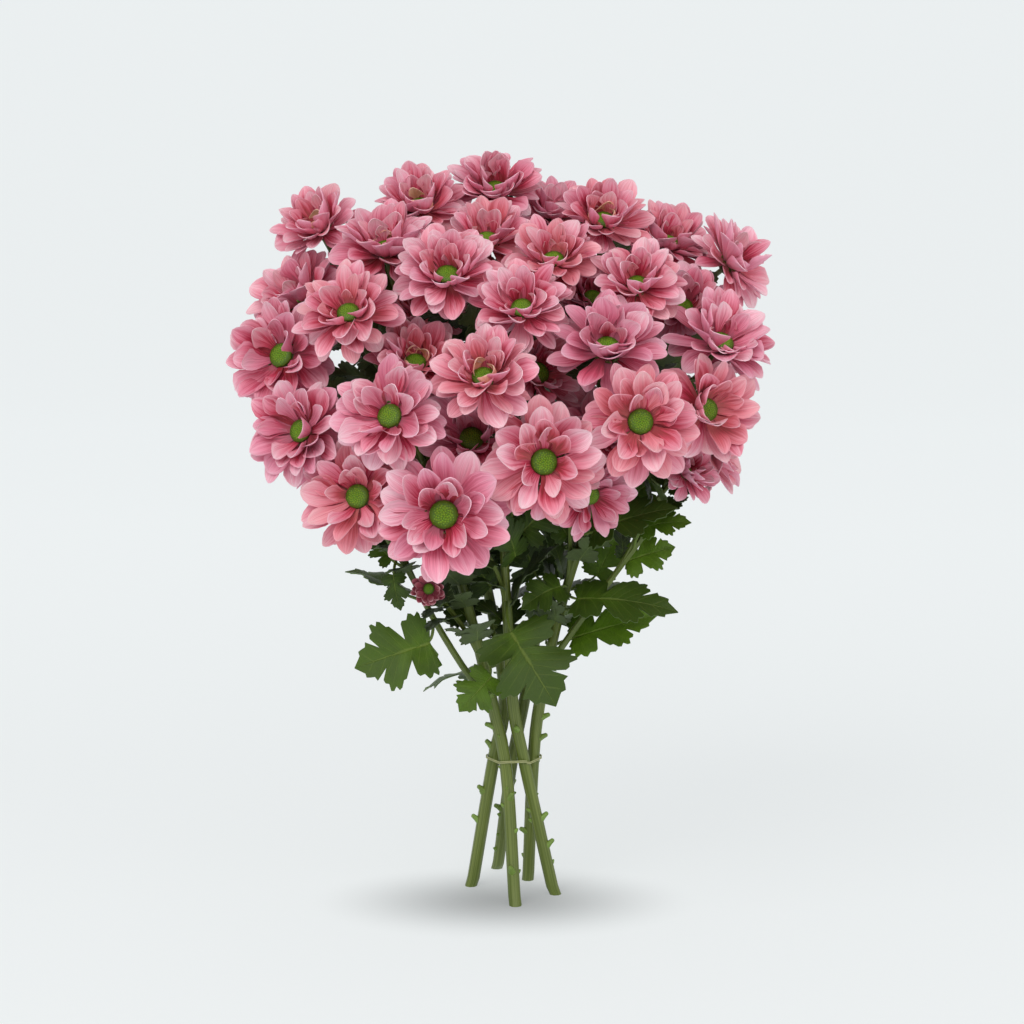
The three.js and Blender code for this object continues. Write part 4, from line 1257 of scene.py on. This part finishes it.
class BUNCH_OT_stage(bpy.types.Operator):
    """Makes the studio: pale paper floor and backdrop, soft lights and the camera"""
    bl_idname = "bunch.stage"
    bl_label = "Stage"

    def execute(self, context):
        stage = context.scene.bunch_stage
        paper = backdrop_finish("studio_paper", stage.tone)
        floor = begin(bpy.ops.mesh.primitive_plane_add, size=2)
        floor.name = floor.data.name = "paper_sweep"
        bpy.ops.object.mode_set(mode="EDIT")
        bpy.ops.mesh.select_all(action="SELECT")
        bpy.ops.transform.resize(value=(*FLOOR_SIZE, 1), center_override=(0, 0, 0))
        bpy.ops.mesh.select_mode(type="VERT")
        bpy.ops.mesh.select_all(action="DESELECT")
        bpy.ops.object.mode_set(mode="OBJECT")
        for vertex in floor.data.vertices:
            vertex.select = vertex.co.y > 0
        bpy.ops.object.mode_set(mode="EDIT")
        for i in range(BEND_STEPS):
            turn = (i + 0.5) / BEND_STEPS * math.pi / 2
            step = BEND_RADIUS * math.pi / 2 / BEND_STEPS
            bpy.ops.mesh.extrude_region_move(TRANSFORM_OT_translate={
                "value": (0, step * math.cos(turn), step * math.sin(turn))})
        bpy.ops.mesh.extrude_region_move(TRANSFORM_OT_translate={"value": (0, 0, WALL)})
        bpy.ops.object.mode_set(mode="OBJECT")
        bpy.ops.object.shade_smooth()
        floor.data.materials.append(paper)
        world = bpy.data.worlds.new("studio_air")
        world.use_nodes = True
        air = world.node_tree.nodes["Background"]
        air.inputs["Color"].default_value = (1, 1, 1, 1)
        air.inputs["Strength"].default_value = AIR_LIGHT
        context.scene.world = world
        power = {"key": stage.key * 1.25, "fill": stage.fill, "front": stage.fill * 0.7}
        for name, (place, target, size) in LIGHTS.items():
            self.add_light(name + "_light", place, target, size, power[name])
        view = bpy.data.cameras.new("photo_view")
        view.lens = stage.lens
        view.sensor_width = 36
        camera = bpy.data.objects.new("photo_view", view)
        context.scene.collection.objects.link(camera)
        camera.location = (Vector(VIEW_FROM) - Vector(MIDDLE)) * MM
        camera.rotation_euler = facing(VIEW_FROM, VIEW_TO)
        context.scene.camera = camera
        context.scene.view_settings.view_transform = "Standard"
        return {"FINISHED"}

    def add_light(self, name, place, target, size, power):
        lamp = bpy.data.lights.new(name, "AREA")
        lamp.shape = "DISK"
        lamp.size = size
        lamp.energy = power
        lamp.color = LIGHT_COLOUR
        light = bpy.data.objects.new(name, lamp)
        bpy.context.scene.collection.objects.link(light)
        light.location = place
        light.rotation_euler = facing(place, target)


class BUNCH_PT_panel(bpy.types.Panel):
    """Lists the bunch's pieces in the sidebar"""
    bl_idname = "BUNCH_PT_panel"
    bl_label = "Spray chrysanthemum bunch"
    bl_space_type = "VIEW_3D"
    bl_region_type = "UI"
    bl_category = "Bunch"

    def draw(self, context):
        for group, title in (("bunch_petals", "Petals"), ("bunch_green", "Greens"), ("bunch_stage", "Stage")):
            box = self.layout.box()
            box.label(text=title)
            settings = getattr(context.scene, group)
            for name in settings.__annotations__:
                box.prop(settings, name)
        for operator in OPERATORS:
            self.layout.operator(operator.bl_idname)


OPERATORS = [BUNCH_OT_stems, BUNCH_OT_leaves, BUNCH_OT_buttons, BUNCH_OT_blooms, BUNCH_OT_bud,
             BUNCH_OT_leaflets, BUNCH_OT_tie, BUNCH_OT_stage]
GROUPS = {"bunch_petals": PetalSettings, "bunch_green": GreenSettings, "bunch_stage": StageSettings}


def register():
    for kind in [*GROUPS.values(), *OPERATORS, BUNCH_PT_panel]:
        bpy.utils.register_class(kind)
    for name, kind in GROUPS.items():
        setattr(bpy.types.Scene, name, PointerProperty(type=kind))


def unregister():
    for name in GROUPS:
        delattr(bpy.types.Scene, name)
    for kind in reversed([*GROUPS.values(), *OPERATORS, BUNCH_PT_panel]):
        bpy.utils.unregister_class(kind)


def main():
    register()
    bpy.ops.bunch.stems()
    bpy.ops.bunch.leaves()
    bpy.ops.bunch.buttons()
    bpy.ops.bunch.blooms()
    bpy.ops.bunch.bud()
    bpy.ops.bunch.leaflets()
    bpy.ops.bunch.tie()
    bpy.ops.bunch.stage()


if __name__ == "__main__":
    main()
